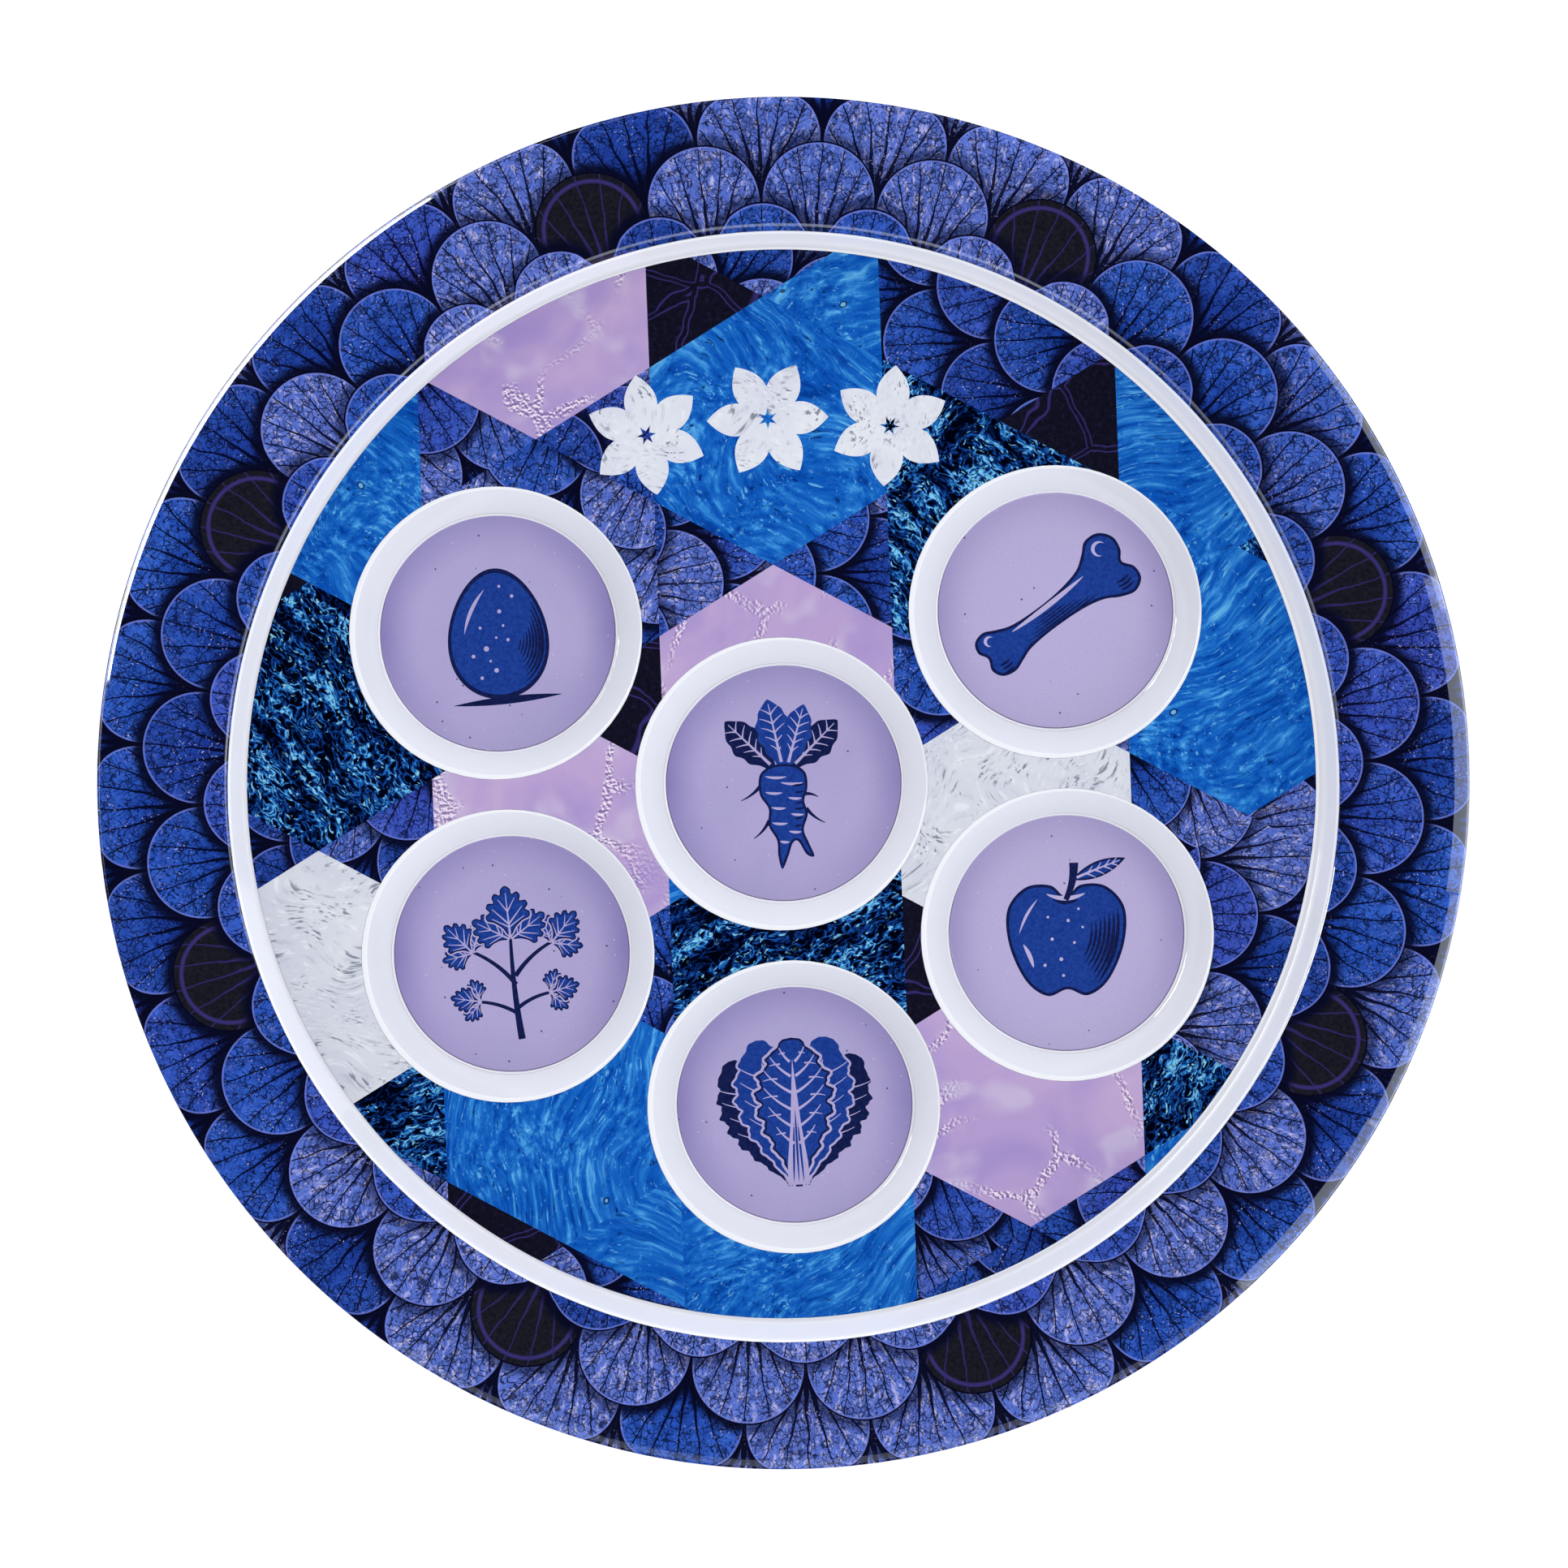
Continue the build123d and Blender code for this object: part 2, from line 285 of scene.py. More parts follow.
def scale_print(name):
    """Overlapping scales.  The map's unit is a scale's half width; a scale's base point is at the origin, its centre at (0, 1)."""
    s = Shader(name)
    v = s.mm()
    uv = s.uv()
    tone = s.attr("tone")
    dark = s.attr("dark")
    bend_ = s.vec("SCALE", s.vec("SUBTRACT", s.noise(v, 0.14, 2.0, colour=True), (0.5, 0.5, 0.5)), scale=0.13)
    p = s.vec("ADD", uv, s.vec("MULTIPLY", bend_, (1.0, 1.0, 0.0)))
    x, y, _ = s.xyz(p)
    d = s.vec("LENGTH", p)
    phi = s.math("ARCTAN2", x, y)
    e = s.sub(1.0, s.vec("DISTANCE", uv, (0.0, 1.0, 0.0)))
    sh = s.sub(
        s.math("MINIMUM", s.vec("DISTANCE", uv, (1.0, 0.0, 0.0)), s.vec("DISTANCE", uv, (-1.0, 0.0, 0.0))), 1.0
    )
    # Body of the scale: deep at the base, paler outwards, mottled all over.
    cloud = s.noise(v, 0.09, 3.0, 0.6)
    mottle = s.noise(v, 0.55, 3.0, 0.65)
    c = s.ramp(
        s.add(s.mul(s.step(d, 0.2, 1.6), 0.42), s.add(s.mul(cloud, 0.30), s.mul(s.sub(mottle, 0.5), 0.62))),
        [(0.08, (12, 32, 104)), (0.30, (25, 60, 150)), (0.50, (38, 80, 180)), (0.72, (58, 103, 203)), (0.95, (94, 128, 219))],
    )
    c = s.mix(s.mul(s.step(tone, 0.72, 1.0), 0.55), c, lin((30, 52, 140)))
    c = s.mix(s.mul(s.step(tone, 0.46, 0.62), s.mul(s.step(tone, 0.74, 0.64), 0.35)), c, lin((78, 74, 182)))
    # Pale strokes along the ribs, strong on some of the scales.
    ray = s.join(s.mul(phi, 20.0), s.mul(d, 4.2), s.mul(tone, 37.0))
    glint = s.step(s.noise(ray, 1.0, 4.0, 0.65), 0.50, 0.70)
    lit = s.step(tone, 0.36, 0.22)
    c = s.mix(s.mul(lit, 0.52), c, lin((112, 130, 216)))
    c = s.mix(s.mul(s.mul(glint, lit), 0.95), c, lin((196, 194, 238)))
    c = s.mix(s.mul(s.mul(glint, s.step(e, 0.6, 0.05)), 0.34), c, lin((128, 138, 220)))
    # Ribs from the base, and side veins that leave them at an angle.
    step_a = math.radians(14.0)
    q = s.math("DIVIDE", s.add(phi, s.mul(s.mul(phi, d), 0.10)), step_a)
    nearest = s.math("ROUND", q)
    f = s.math("ABSOLUTE", s.sub(q, nearest))
    taper = s.step(d, 1.9, 0.1)
    half = s.add(0.009, s.mul(s.math("POWER", taper, 2.2), 0.044))
    across = s.mul(s.mul(f, step_a), d)
    rib = s.step(s.sub(across, half), 0.008, 0.0)
    run = s.add(
        s.sub(s.mul(d, 9.5), s.mul(f, 3.6)),
        s.add(s.mul(s.noise(v, 0.4, 2.0), 1.3), s.add(s.mul(nearest, 0.37), s.mul(tone, 7.0))),
    )
    saw = s.mul(s.math("ABSOLUTE", s.sub(s.math("FRACT", run), 0.5)), 2.0)
    limit = s.add(0.74, s.mul(f, 0.42))
    side = s.mul(s.step(s.sub(saw, limit), 0.0, 0.08), s.step(s.noise(v, 0.42, 1.0), 0.32, 0.42))
    crack = s.cells(s.warped(v, 0.8, 0.35), 0.62, "DISTANCE_TO_EDGE")
    fine = s.mul(s.step(crack, 0.10, 0.045), s.step(s.noise(s.vec("ADD", v, (9.0, 5.0, 0.0)), 0.45, 1.0), 0.42, 0.52))
    net = s.cells(s.warped(v, 1.5, 0.25), 1.35, "DISTANCE_TO_EDGE")
    hair = s.mul(s.step(net, 0.11, 0.05), s.step(s.noise(s.vec("ADD", v, (3.0, 8.0, 0.0)), 0.33, 1.0), 0.44, 0.58))
    line = s.math("MAXIMUM", s.mul(rib, 0.97), s.math("MAXIMUM", s.mul(side, 0.9), s.math("MAXIMUM", s.mul(fine, 0.82), s.mul(hair, 0.6))))
    c = s.mix(line, c, lin((5, 6, 28)))
    # Tiny sparks beside the veins.
    spark = s.mul(s.step(s.noise(v, 1.9, 1.0), 0.66, 0.72), s.step(s.noise(s.vec("ADD", v, (4.0, 2.0, 0.0)), 0.16, 2.0), 0.48, 0.60))
    c = s.mix(s.mul(spark, 0.75), c, lin((176, 178, 236)))
    c = s.specks(c, 1.7, 0.29, (10, 10, 38), 0.85)
    # Dark accent scales.
    a = s.ramp(s.noise(v, 1.2, 3.0, 0.7), [(0.3, (15, 16, 24)), (0.7, (31, 32, 42))])
    a = s.mix(s.mul(s.mul(s.step(e, 0.20, 0.16), s.step(e, 0.10, 0.14)), 0.7), a, lin((62, 54, 126)))
    a = s.mix(s.mul(rib, 0.75), a, lin((48, 42, 104)))
    c = s.mix(dark, c, a)
    # Pale edge, dark outline, and the shade of the scales that lie over it.
    c = s.mix(s.mul(s.mul(s.step(e, 0.060, 0.050), s.sub(1.0, dark)), 0.62), c, lin((112, 128, 218)))
    c = s.mix(s.step(e, 0.032, 0.022), c, lin((8, 8, 28)))
    c = s.mix(s.mul(s.step(s.add(sh, s.mul(s.sub(cloud, 0.5), 0.12)), 0.24, 0.05), s.sub(0.96, s.mul(lit, 0.30))), c, lin((8, 10, 34)))
    c = s.grain(c, 2.2, 0.10)
    return s.finish(c)


def navy_print():
    s = Shader("navy_glass_print")
    uv = s.uv()
    c = s.ramp(s.noise(uv, 0.9, 4.0, 0.7), [(0.3, (12, 12, 26)), (0.55, (19, 19, 36)), (0.75, (34, 31, 62))])
    band = s.cells(s.warped(uv, 0.07, 3.0), 0.06, "DISTANCE_TO_EDGE")
    c = s.mix(s.mul(s.mul(s.step(band, 0.02, 0.03), s.step(band, 0.05, 0.035)), 0.6), c, lin((62, 54, 128)))
    c = s.grain(c, 2.2, 0.15)
    return s.finish(c)


def azure_print():
    s = Shader("azure_brush_print")
    uv = s.uv()
    w = s.warped(s.warped(uv, 0.018, 26.0, 1.0), 0.10, 1.6)
    pull = s.vec("MULTIPLY", w, (0.06, 1.0, 1.0))
    wash = s.noise(uv, 0.07, 3.0, 0.6)
    stroke_ = s.noise(pull, 0.62, 3.0, 0.62)
    c = s.ramp(
        s.add(s.mul(stroke_, 0.75), s.mul(wash, 0.25)),
        [(0.33, (5, 58, 146)), (0.44, (12, 84, 180)), (0.53, (26, 104, 194)), (0.60, (52, 136, 214)), (0.70, (104, 182, 234)), (0.8, (176, 220, 242))],
    )
    other = s.vec("ADD", s.vec("MULTIPLY", w, (0.09, 1.0, 1.0)), (37.0, 11.0, 0.0))
    hair = s.noise(other, 1.35, 2.0, 0.55)
    gate = s.step(s.noise(uv, 0.13, 1.0), 0.40, 0.58)
    c = s.mix(s.mul(s.mul(s.step(hair, 0.37, 0.31), gate), 0.85), c, lin((2, 26, 84)))
    c = s.mix(s.mul(s.mul(s.step(hair, 0.62, 0.69), gate), 0.7), c, lin((112, 192, 238)))
    dab = s.noise(s.warped(uv, 0.5, 1.0), 0.75, 3.0, 0.65)
    c = s.mix(s.mul(s.step(dab, 0.61, 0.70), 0.55), c, lin((92, 172, 230)))
    c = s.mix(s.mul(s.step(dab, 0.36, 0.29), 0.6), c, lin((4, 44, 122)))
    b = s.node("ShaderNodeTexVoronoi", feature="F1")
    s.put(b.inputs["Vector"], s.vec("MULTIPLY", uv, (1.0, 1.35, 1.0)))
    b.inputs["Scale"].default_value = 1 / 13.0
    r, _, _ = s.xyz(b.outputs["Color"])
    keep = s.step(r, 0.62, 0.63)
    far = b.outputs["Distance"]
    c = s.mix(s.mul(s.mul(s.step(far, 0.085, 0.07), keep), 0.85), c, lin((3, 22, 66)))
    c = s.mix(s.mul(s.mul(s.step(far, 0.055, 0.04), keep), 0.9), c, lin((120, 184, 232)))
    c = s.grain(c, 2.2, 0.12, uv)
    return s.finish(c)


def hammered_print():
    s = Shader("hammered_glass_print")
    uv = s.uv()
    w = s.vec("MULTIPLY", s.warped(uv, 0.13, 2.6), (0.55, 1.0, 1.0))
    n = s.noise(w, 0.70, 1.0, 0.5, 0.5)
    ridge = s.math("ABSOLUTE", s.sub(n, 0.5))
    pool = s.noise(s.vec("MULTIPLY", w, (0.35, 1.0, 1.0)), 0.26, 2.0, 0.55)
    c = s.ramp(
        s.add(s.mul(ridge, 3.0), s.mul(s.sub(pool, 0.42), 1.25)),
        [(0.0, (120, 196, 236)), (0.06, (50, 138, 208)), (0.16, (22, 84, 168)), (0.28, (10, 42, 108)), (0.42, (2, 10, 42)), (0.6, (0, 2, 14))],
    )
    m = s.noise(s.vec("ADD", w, (31.0, 7.0, 0.0)), 1.25, 1.0, 0.5, 0.5)
    c = s.mix(s.mul(s.step(s.math("ABSOLUTE", s.sub(m, 0.48)), 0.045, 0.015), 0.9), c, lin((0, 3, 18)))
    c = s.mix(s.mul(s.mul(s.step(m, 0.63, 0.70), s.step(pool, 0.62, 0.48)), 0.95), c, lin((132, 204, 238)))
    c = s.grain(c, 2.4, 0.12, uv)
    return s.finish(c)


def lilac_print():
    s = Shader("lilac_marble_print")
    uv = s.uv()
    cloud = s.noise(uv, 0.040, 3.0, 0.55, 0.7)
    c = s.ramp(cloud, [(0.32, (164, 144, 203)), (0.48, (178, 156, 207)), (0.66, (192, 167, 210))])
    w = s.warped(s.warped(uv, 0.045, 7.0), 0.45, 0.8)
    web = s.cells(w, 0.052, "DISTANCE_TO_EDGE")
    part = s.step(s.noise(uv, 0.045, 1.0), 0.40, 0.55)
    smear = s.mul(s.step(web, 0.20, 0.04), s.step(s.noise(uv, 0.10, 1.0), 0.50, 0.66))
    c = s.mix(s.mul(smear, 0.5), c, lin((205, 196, 222)))
    h1 = s.noise(uv, 1.25, 1.0, 0.5)
    h2 = s.noise(s.vec("ADD", uv, (0.22, 0.30, 0.0)), 1.25, 1.0, 0.5)
    emboss = s.sub(h1, h2)
    on = s.mul(s.step(web, 0.060, 0.030), part)
    c = s.mix(s.mul(on, s.step(emboss, 0.03, 0.10)), c, lin((240, 230, 242)))
    c = s.mix(s.mul(s.mul(on, s.step(emboss, -0.03, -0.10)), 0.85), c, lin((122, 96, 150)))
    c = s.grain(c, 1.9, 0.035, uv)
    c = s.dots(c, 7.0, 0.20, 0.80, (44, 34, 62))
    c = s.dots(c, 5.0, 0.20, 0.80, (236, 226, 242), 0.8)
    return s.finish(c)


def marble_print(name, lift):
    s = Shader(name)
    uv = s.uv()
    cloud = s.noise(uv, 0.055, 3.0, 0.6, 0.5)
    c = s.ramp(cloud, [(0.32, (206 + lift, 209 + lift, 224 + lift)), (0.66, (219 + lift, 223 + lift, 231 + lift))])
    fan = s.warped(uv, 0.035, 22.0, 1.0)
    soft = s.noise(s.vec("MULTIPLY", fan, (0.20, 1.0, 1.0)), 0.8, 3.0, 0.6)
    c = s.mix(s.mul(s.step(soft, 0.56, 0.68), 0.45), c, lin((176, 182, 200)))
    c = s.mix(s.mul(s.step(soft, 0.44, 0.32), 0.65), c, lin((236, 239, 244)))
    gate = s.step(s.noise(s.vec("ADD", uv, (5.0, 3.0, 0.0)), 0.16, 2.0), 0.46, 0.60)
    line = s.noise(s.vec("MULTIPLY", s.vec("ADD", fan, (63.0, 21.0, 0.0)), (0.20, 1.7, 1.0)), 0.85, 2.0, 0.55)
    c = s.mix(s.mul(s.mul(s.step(line, 0.56, 0.64), gate), 0.85), c, lin((112, 119, 138)))
    c = s.grain(c, 1.9, 0.02, uv)
    c = s.dots(c, 9.0, 0.18, 0.82, (80, 82, 94))
    return s.finish(c)


def well_print_and_painted_shade():
    s = Shader("well_lilac_print_painted_shade")
    v = s.mm()
    x, _, _ = s.xyz(v)
    cloud = s.noise(v, 0.05, 3.0, 0.5)
    c = s.ramp(cloud, [(0.3, (173, 164, 210)), (0.7, (180, 170, 215))])
    # Lighter on the discs to the right of the plate.
    right = s.step(x, 10.0, 50.0)
    c = s.mix(s.mul(right, 0.85), c, lin((188, 178, 220)))
    # Painted shade: darker towards the edge of the disc, where the well's wall shades it, except at its foot; on the
    # right, mostly on that side.
    uv = s.uv()
    far = s.vec("LENGTH", uv)
    x, y, _ = s.xyz(s.vec("NORMALIZE", uv))
    shade_way = s.math("MINIMUM", s.sub(1.0, s.mul(y, 0.55)), s.add(1.0, y))
    side = s.add(s.math("MAXIMUM", s.mul(x, 0.36), s.mul(x, -0.12)), 0.22)
    side = s.mul(side, s.math("MINIMUM", s.add(1.0, y), 1.0))
    shade_way = s.add(shade_way, s.mul(right, s.sub(side, shade_way)))
    c = s.mix(s.mul(s.mul(s.step(far, 17.5, 27.0), shade_way), 0.85), c, lin((138, 127, 190)))
    c = s.grain(c, 2.4, 0.10)
    c = s.dots(c, 4.3, 0.27, 0.05, (46, 38, 70), 0.9)
    c = s.dots(c, 3.2, 0.17, 0.05, (228, 224, 242), 0.8)
    # A thin dark line of painted shade where the disc turns up, left off towards the top, and the foil's margin is
    # white.
    edge = s.add(far, s.mul(s.noise(v, 0.6, 2.0), 0.10))
    c = s.mix(s.mul(s.step(edge, 26.20, 26.38), s.step(y, 0.75, 0.15)), c, lin((104, 96, 132)))
    c = s.mix(s.step(edge, 26.44, 26.58), c, lin((236, 236, 247)))
    return s.finish(c)


def ink_print(name, low, high):
    s = Shader(name)
    v = s.mm()
    c = s.ramp(s.noise(v, 1.4, 3.0, 0.65), [(0.32, low), (0.68, high)])
    c = s.grain(c, 2.2, 0.10)
    return s.finish(c)


# ------------------------------------------------------------------- meshes
class Net:
    """Points and edges in a plane, cut into triangles along all the edges."""

    def __init__(self):
        self.points, self.edges = [], []

    def path(self, pts, closed=False):
        first = len(self.points)
        self.points += [Vector(p) for p in pts]
        n = len(pts)
        for i in range(n if closed else n - 1):
            self.edges.append((first + i, first + (i + 1) % n))

    def cut(self):
        res = delaunay_2d_cdt(self.points, self.edges, [], 0, 1e-5)
        verts = [(v.x, v.y) for v in res[0]]
        faces = []
        for f in res[2]:
            area = 0.0
            for i in range(len(f)):
                a, b = verts[f[i]], verts[f[(i + 1) % len(f)]]
                area += a[0] * b[1] - a[1] * b[0]
            if abs(area) > 1e-9:
                faces.append(tuple(f) if area > 0 else tuple(reversed(f)))
        return verts, faces


def ring(cx, cy, r, n, start=0.0):
    return [
        (cx + r * math.cos(start + 2 * math.pi * i / n), cy + r * math.sin(start + 2 * math.pi * i / n)) for i in range(n)
    ]


def in_ring(x, y, cx, cy, r, n):
    """Inside the n-sided ring that ring() makes."""
    step = 2 * math.pi / n
    a = math.atan2(y - cy, x - cx) % step - step / 2
    return math.hypot(x - cx, y - cy) * math.cos(a) < r * math.cos(step / 2)


def turned(pts, deg, ox=0.0, oy=0.0, k=1.0):
    c, s = math.cos(math.radians(deg)), math.sin(math.radians(deg))
    return [(k * (x * c - y * s) + ox, k * (x * s + y * c) + oy) for x, y in pts]


def in_shape(x, y, pts):
    inside = False
    j = len(pts) - 1
    for i in range(len(pts)):
        xi, yi = pts[i]
        xj, yj = pts[j]
        if (yi > y) != (yj > y) and x < (xj - xi) * (y - yi) / (yj - yi) + xi:
            inside = not inside
        j = i
    return inside


def foil(name, node, top, low, normal, faces, mats, mat_of, print_uv, bakes, extra=None):
    """A closed thin skin: top faces, the same faces below them, and the edge between."""
    n = len(top)
    used = {}
    for fi, f in enumerate(faces):
        for i in range(len(f)):
            used[(f[i], f[(i + 1) % len(f)])] = fi
    polys = [tuple(f) for f in faces]
    polys += [tuple(i + n for i in reversed(f)) for f in faces]
    walls = [(e, fi) for e, fi in used.items() if (e[1], e[0]) not in used]
    polys += [(a, a + n, b + n, b) for (a, b), _ in walls]
    me = bpy.data.meshes.new(name)
    me.from_pydata([Vector(p) * MM for p in top] + [Vector(p) * MM for p in low], [], polys)
    src = list(range(len(faces))) * 2 + [fi for _, fi in walls]
    for m in mats:
        me.materials.append(m)
    me.polygons.foreach_set("material_index", [mat_of[i] for i in src])
    me.polygons.foreach_set("use_smooth", [True] * len(polys))
    pr, bk, nr = [], [], []
    k = len(faces)
    bake_top, bake_low, bake_wall = bakes
    for pi, p in enumerate(polys):
        fi = src[pi]
        flat = None
        if pi >= 2 * k:
            a, b, c = (Vector(top[i] if i < n else low[i - n]) for i in p[:3])
            flat = (b - a).cross(c - b).normalized()
        for i in p:
            j = i % n
            pr.append(print_uv(fi, j))
            bk.append(bake_top(fi, j) if pi < k else bake_low(fi, j) if pi < 2 * k else bake_wall(fi, j, i >= n))
            nr.append(flat or (normal[j] if i < n else -normal[j]))
    for uv_name, data in (("Print", pr), ("OFBake", bk)):
        layer = me.uv_layers.new(name=uv_name)
        layer.data.foreach_set("uv", [c for uv in data for c in uv])
    for attr_name, values in (extra or {}).items():
        at = me.attributes.new(attr_name, "FLOAT", "FACE")
        at.data.foreach_set("value", [float(values[i]) for i in src])
    me.validate()
    me.normals_split_custom_set([tuple(v) for v in nr])
    ob = bpy.data.objects.new(name, me)
    bpy.context.collection.objects.link(ob)
    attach(ob, "root")
    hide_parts(node)
    return ob


def disc_bake(pts, cx, cy, r, holes=()):
    """Planar bake maps of a disc: its top, and small in a corner its under side with the edges round it."""

    def small(x, y, k):
        return (0.066 + k * (x - cx) / r, 0.066 + k * (y - cy) / r)

    def top(fi, j):
        return (0.5 + 0.492 * (pts[j][0] - cx) / r, 0.5 + 0.492 * (pts[j][1] - cy) / r)

    def low(fi, j):
        return small(*pts[j], 0.055)

    def wall(fi, j, under):
        x, y = pts[j]
        for hx, hy, hr in holes:
            if abs(math.hypot(x - hx, y - hy) - hr) < 0.05:
                k = 1.0 if under else 0.85
                return small(hx + k * (x - hx), hy + k * (y - hy), 0.055)
        return small(x, y, 0.055 if under else 0.060)

    return top, low, wall


# ----------------------------------------------------------------- rim print
def rim_chain():
    """The rim's face from the foot of the step wall: segments of length, start r, start z, two headings and radius."""
    rad = math.radians
    r = CENTRE_FLAT_R + COVE_R * math.sin(rad(STEP_A))
    z = CENTRE_Z + COVE_R * (1 - math.cos(rad(STEP_A)))
    rise = SHOULDER_R * (math.cos(rad(RIM_SLOPE)) - math.cos(rad(STEP_A)))
    wall_len = (CENTRE_Z + STEP_RISE - rise - z) / math.sin(rad(STEP_A))
    segs = []

    def line(length, h):
        nonlocal r, z
        segs.append((length, r, z, h, h, 0.0))
        r += length * math.cos(rad(h))
        z += length * math.sin(rad(h))

    def arc(h0, h1, radius):
        nonlocal r, z
        segs.append((rad(h0 - h1) * radius, r, z, h0, h1, radius))
        r -= radius * (math.sin(rad(h1)) - math.sin(rad(h0)))
        z += radius * (math.cos(rad(h1)) - math.cos(rad(h0)))

    line(wall_len, STEP_A)
    arc(STEP_A, RIM_SLOPE, SHOULDER_R)
    lip_end = PLATE_R - EDGE_R * (1 + math.sin(rad(LIP_A)))
    lip_run = LIP_R * (math.sin(rad(RIM_SLOPE)) - math.sin(rad(LIP_A)))
    line((lip_end - lip_run - r) / math.cos(rad(RIM_SLOPE)), RIM_SLOPE)
    arc(RIM_SLOPE, LIP_A, LIP_R)
    arc(LIP_A, -77.5, EDGE_R)
    return segs


RIM = rim_chain()
CHAIN_LEN = sum(s[0] for s in RIM)


def along(w):
    """Radius, height and heading of the rim's face at distance w from the foot of the step wall."""
    for length, r, z, h0, h1, radius in RIM:
        if w <= length + 1e-7:
            if radius == 0.0:
                a = math.radians(h0)
                return r + w * math.cos(a), z + w * math.sin(a), h0
            h = h0 - math.degrees(w / radius)
            return (
                r - radius * (math.sin(math.radians(h)) - math.sin(math.radians(h0))),
                z + radius * (math.cos(math.radians(h)) - math.cos(math.radians(h0))),
                h,
            )
        w -= length
    return along(CHAIN_LEN - 1e-9)


def reach(r):
    """How far from the foot of the step wall the rim's face has that radius."""
    lo, hi = 0.0, 12.0
    for _ in range(40):
        mid = (lo + hi) / 2
        lo, hi = (mid, hi) if along(mid)[0] < r else (lo, mid)
    return lo


RIM_FROM = reach(RIM_IN_R)                # where the print starts, on the mean
RIM_LEN = CHAIN_LEN - RIM_FROM
EASE = 3.0                                # the print gives way over this much where its edge is off centre


def lead(a):
    """How far outside the mean the print's inner edge is, in direction a."""
    out = RIM_SHIFT[0] * math.cos(a) + RIM_SHIFT[1] * math.sin(a)
    side = RIM_SHIFT[1] * math.cos(a) - RIM_SHIFT[0] * math.sin(a)
    return reach(out + math.sqrt(RIM_IN_R ** 2 - side ** 2)) - RIM_FROM


LEADS = [lead(2 * math.pi * i / 720) for i in range(720)]


def rim_at(a, v):
    """Radius, height and heading of the print in direction a, at distance v from its mean inner edge."""
    if v < EASE:
        t = (a / (2 * math.pi) * 720) % 720
        i = int(t)
        off = LEADS[i % 720] * (i + 1 - t) + LEADS[(i + 1) % 720] * (t - i)
        v = off + v * (EASE - off) / EASE
    return along(RIM_FROM + v)


def rim_rows():
    """Distances across the rim that the mesh needs, close together where the face bends."""
    rows, w = [0.0], 0.0
    for length, *_, radius in RIM:
        n = max(1, round(length / (4.0 if radius == 0 else 0.42 if radius > 2 else 0.19)))
        ends = (w + length * (i + 1) / n - RIM_FROM for i in range(n))
        rows += [v for v in ends if v > 0.15]
        w += length
    return rows


SCALES = 32                               # scales round the rim in one row
MEAN_R = 138.0
SINK = 0.03                               # the print lies this much under the rim's nominal face
HALF = math.pi * MEAN_R / SCALES          # half width of a scale
PERIOD = 2 * HALF
ROW0 = -7.6                               # centre of the innermost row of scales


def scale_of(u, v, half=HALF, row0=ROW0):
    """Row and centre of the scale that covers a point: lower rows lie over the ones above."""
    near = []
    first = math.floor((v - row0) / half) - 1
    for k in range(first, first + 5):
        vc = row0 + k * half
        shift = half if k % 2 else 0.0
        uc = round((u - shift) / (2 * half)) * 2 * half + shift
        over = math.hypot(u - uc, v - vc) - half
        if over < -0.002:
            return k, uc, vc
        near.append((over, k, uc, vc))
    return min(near)[1:]


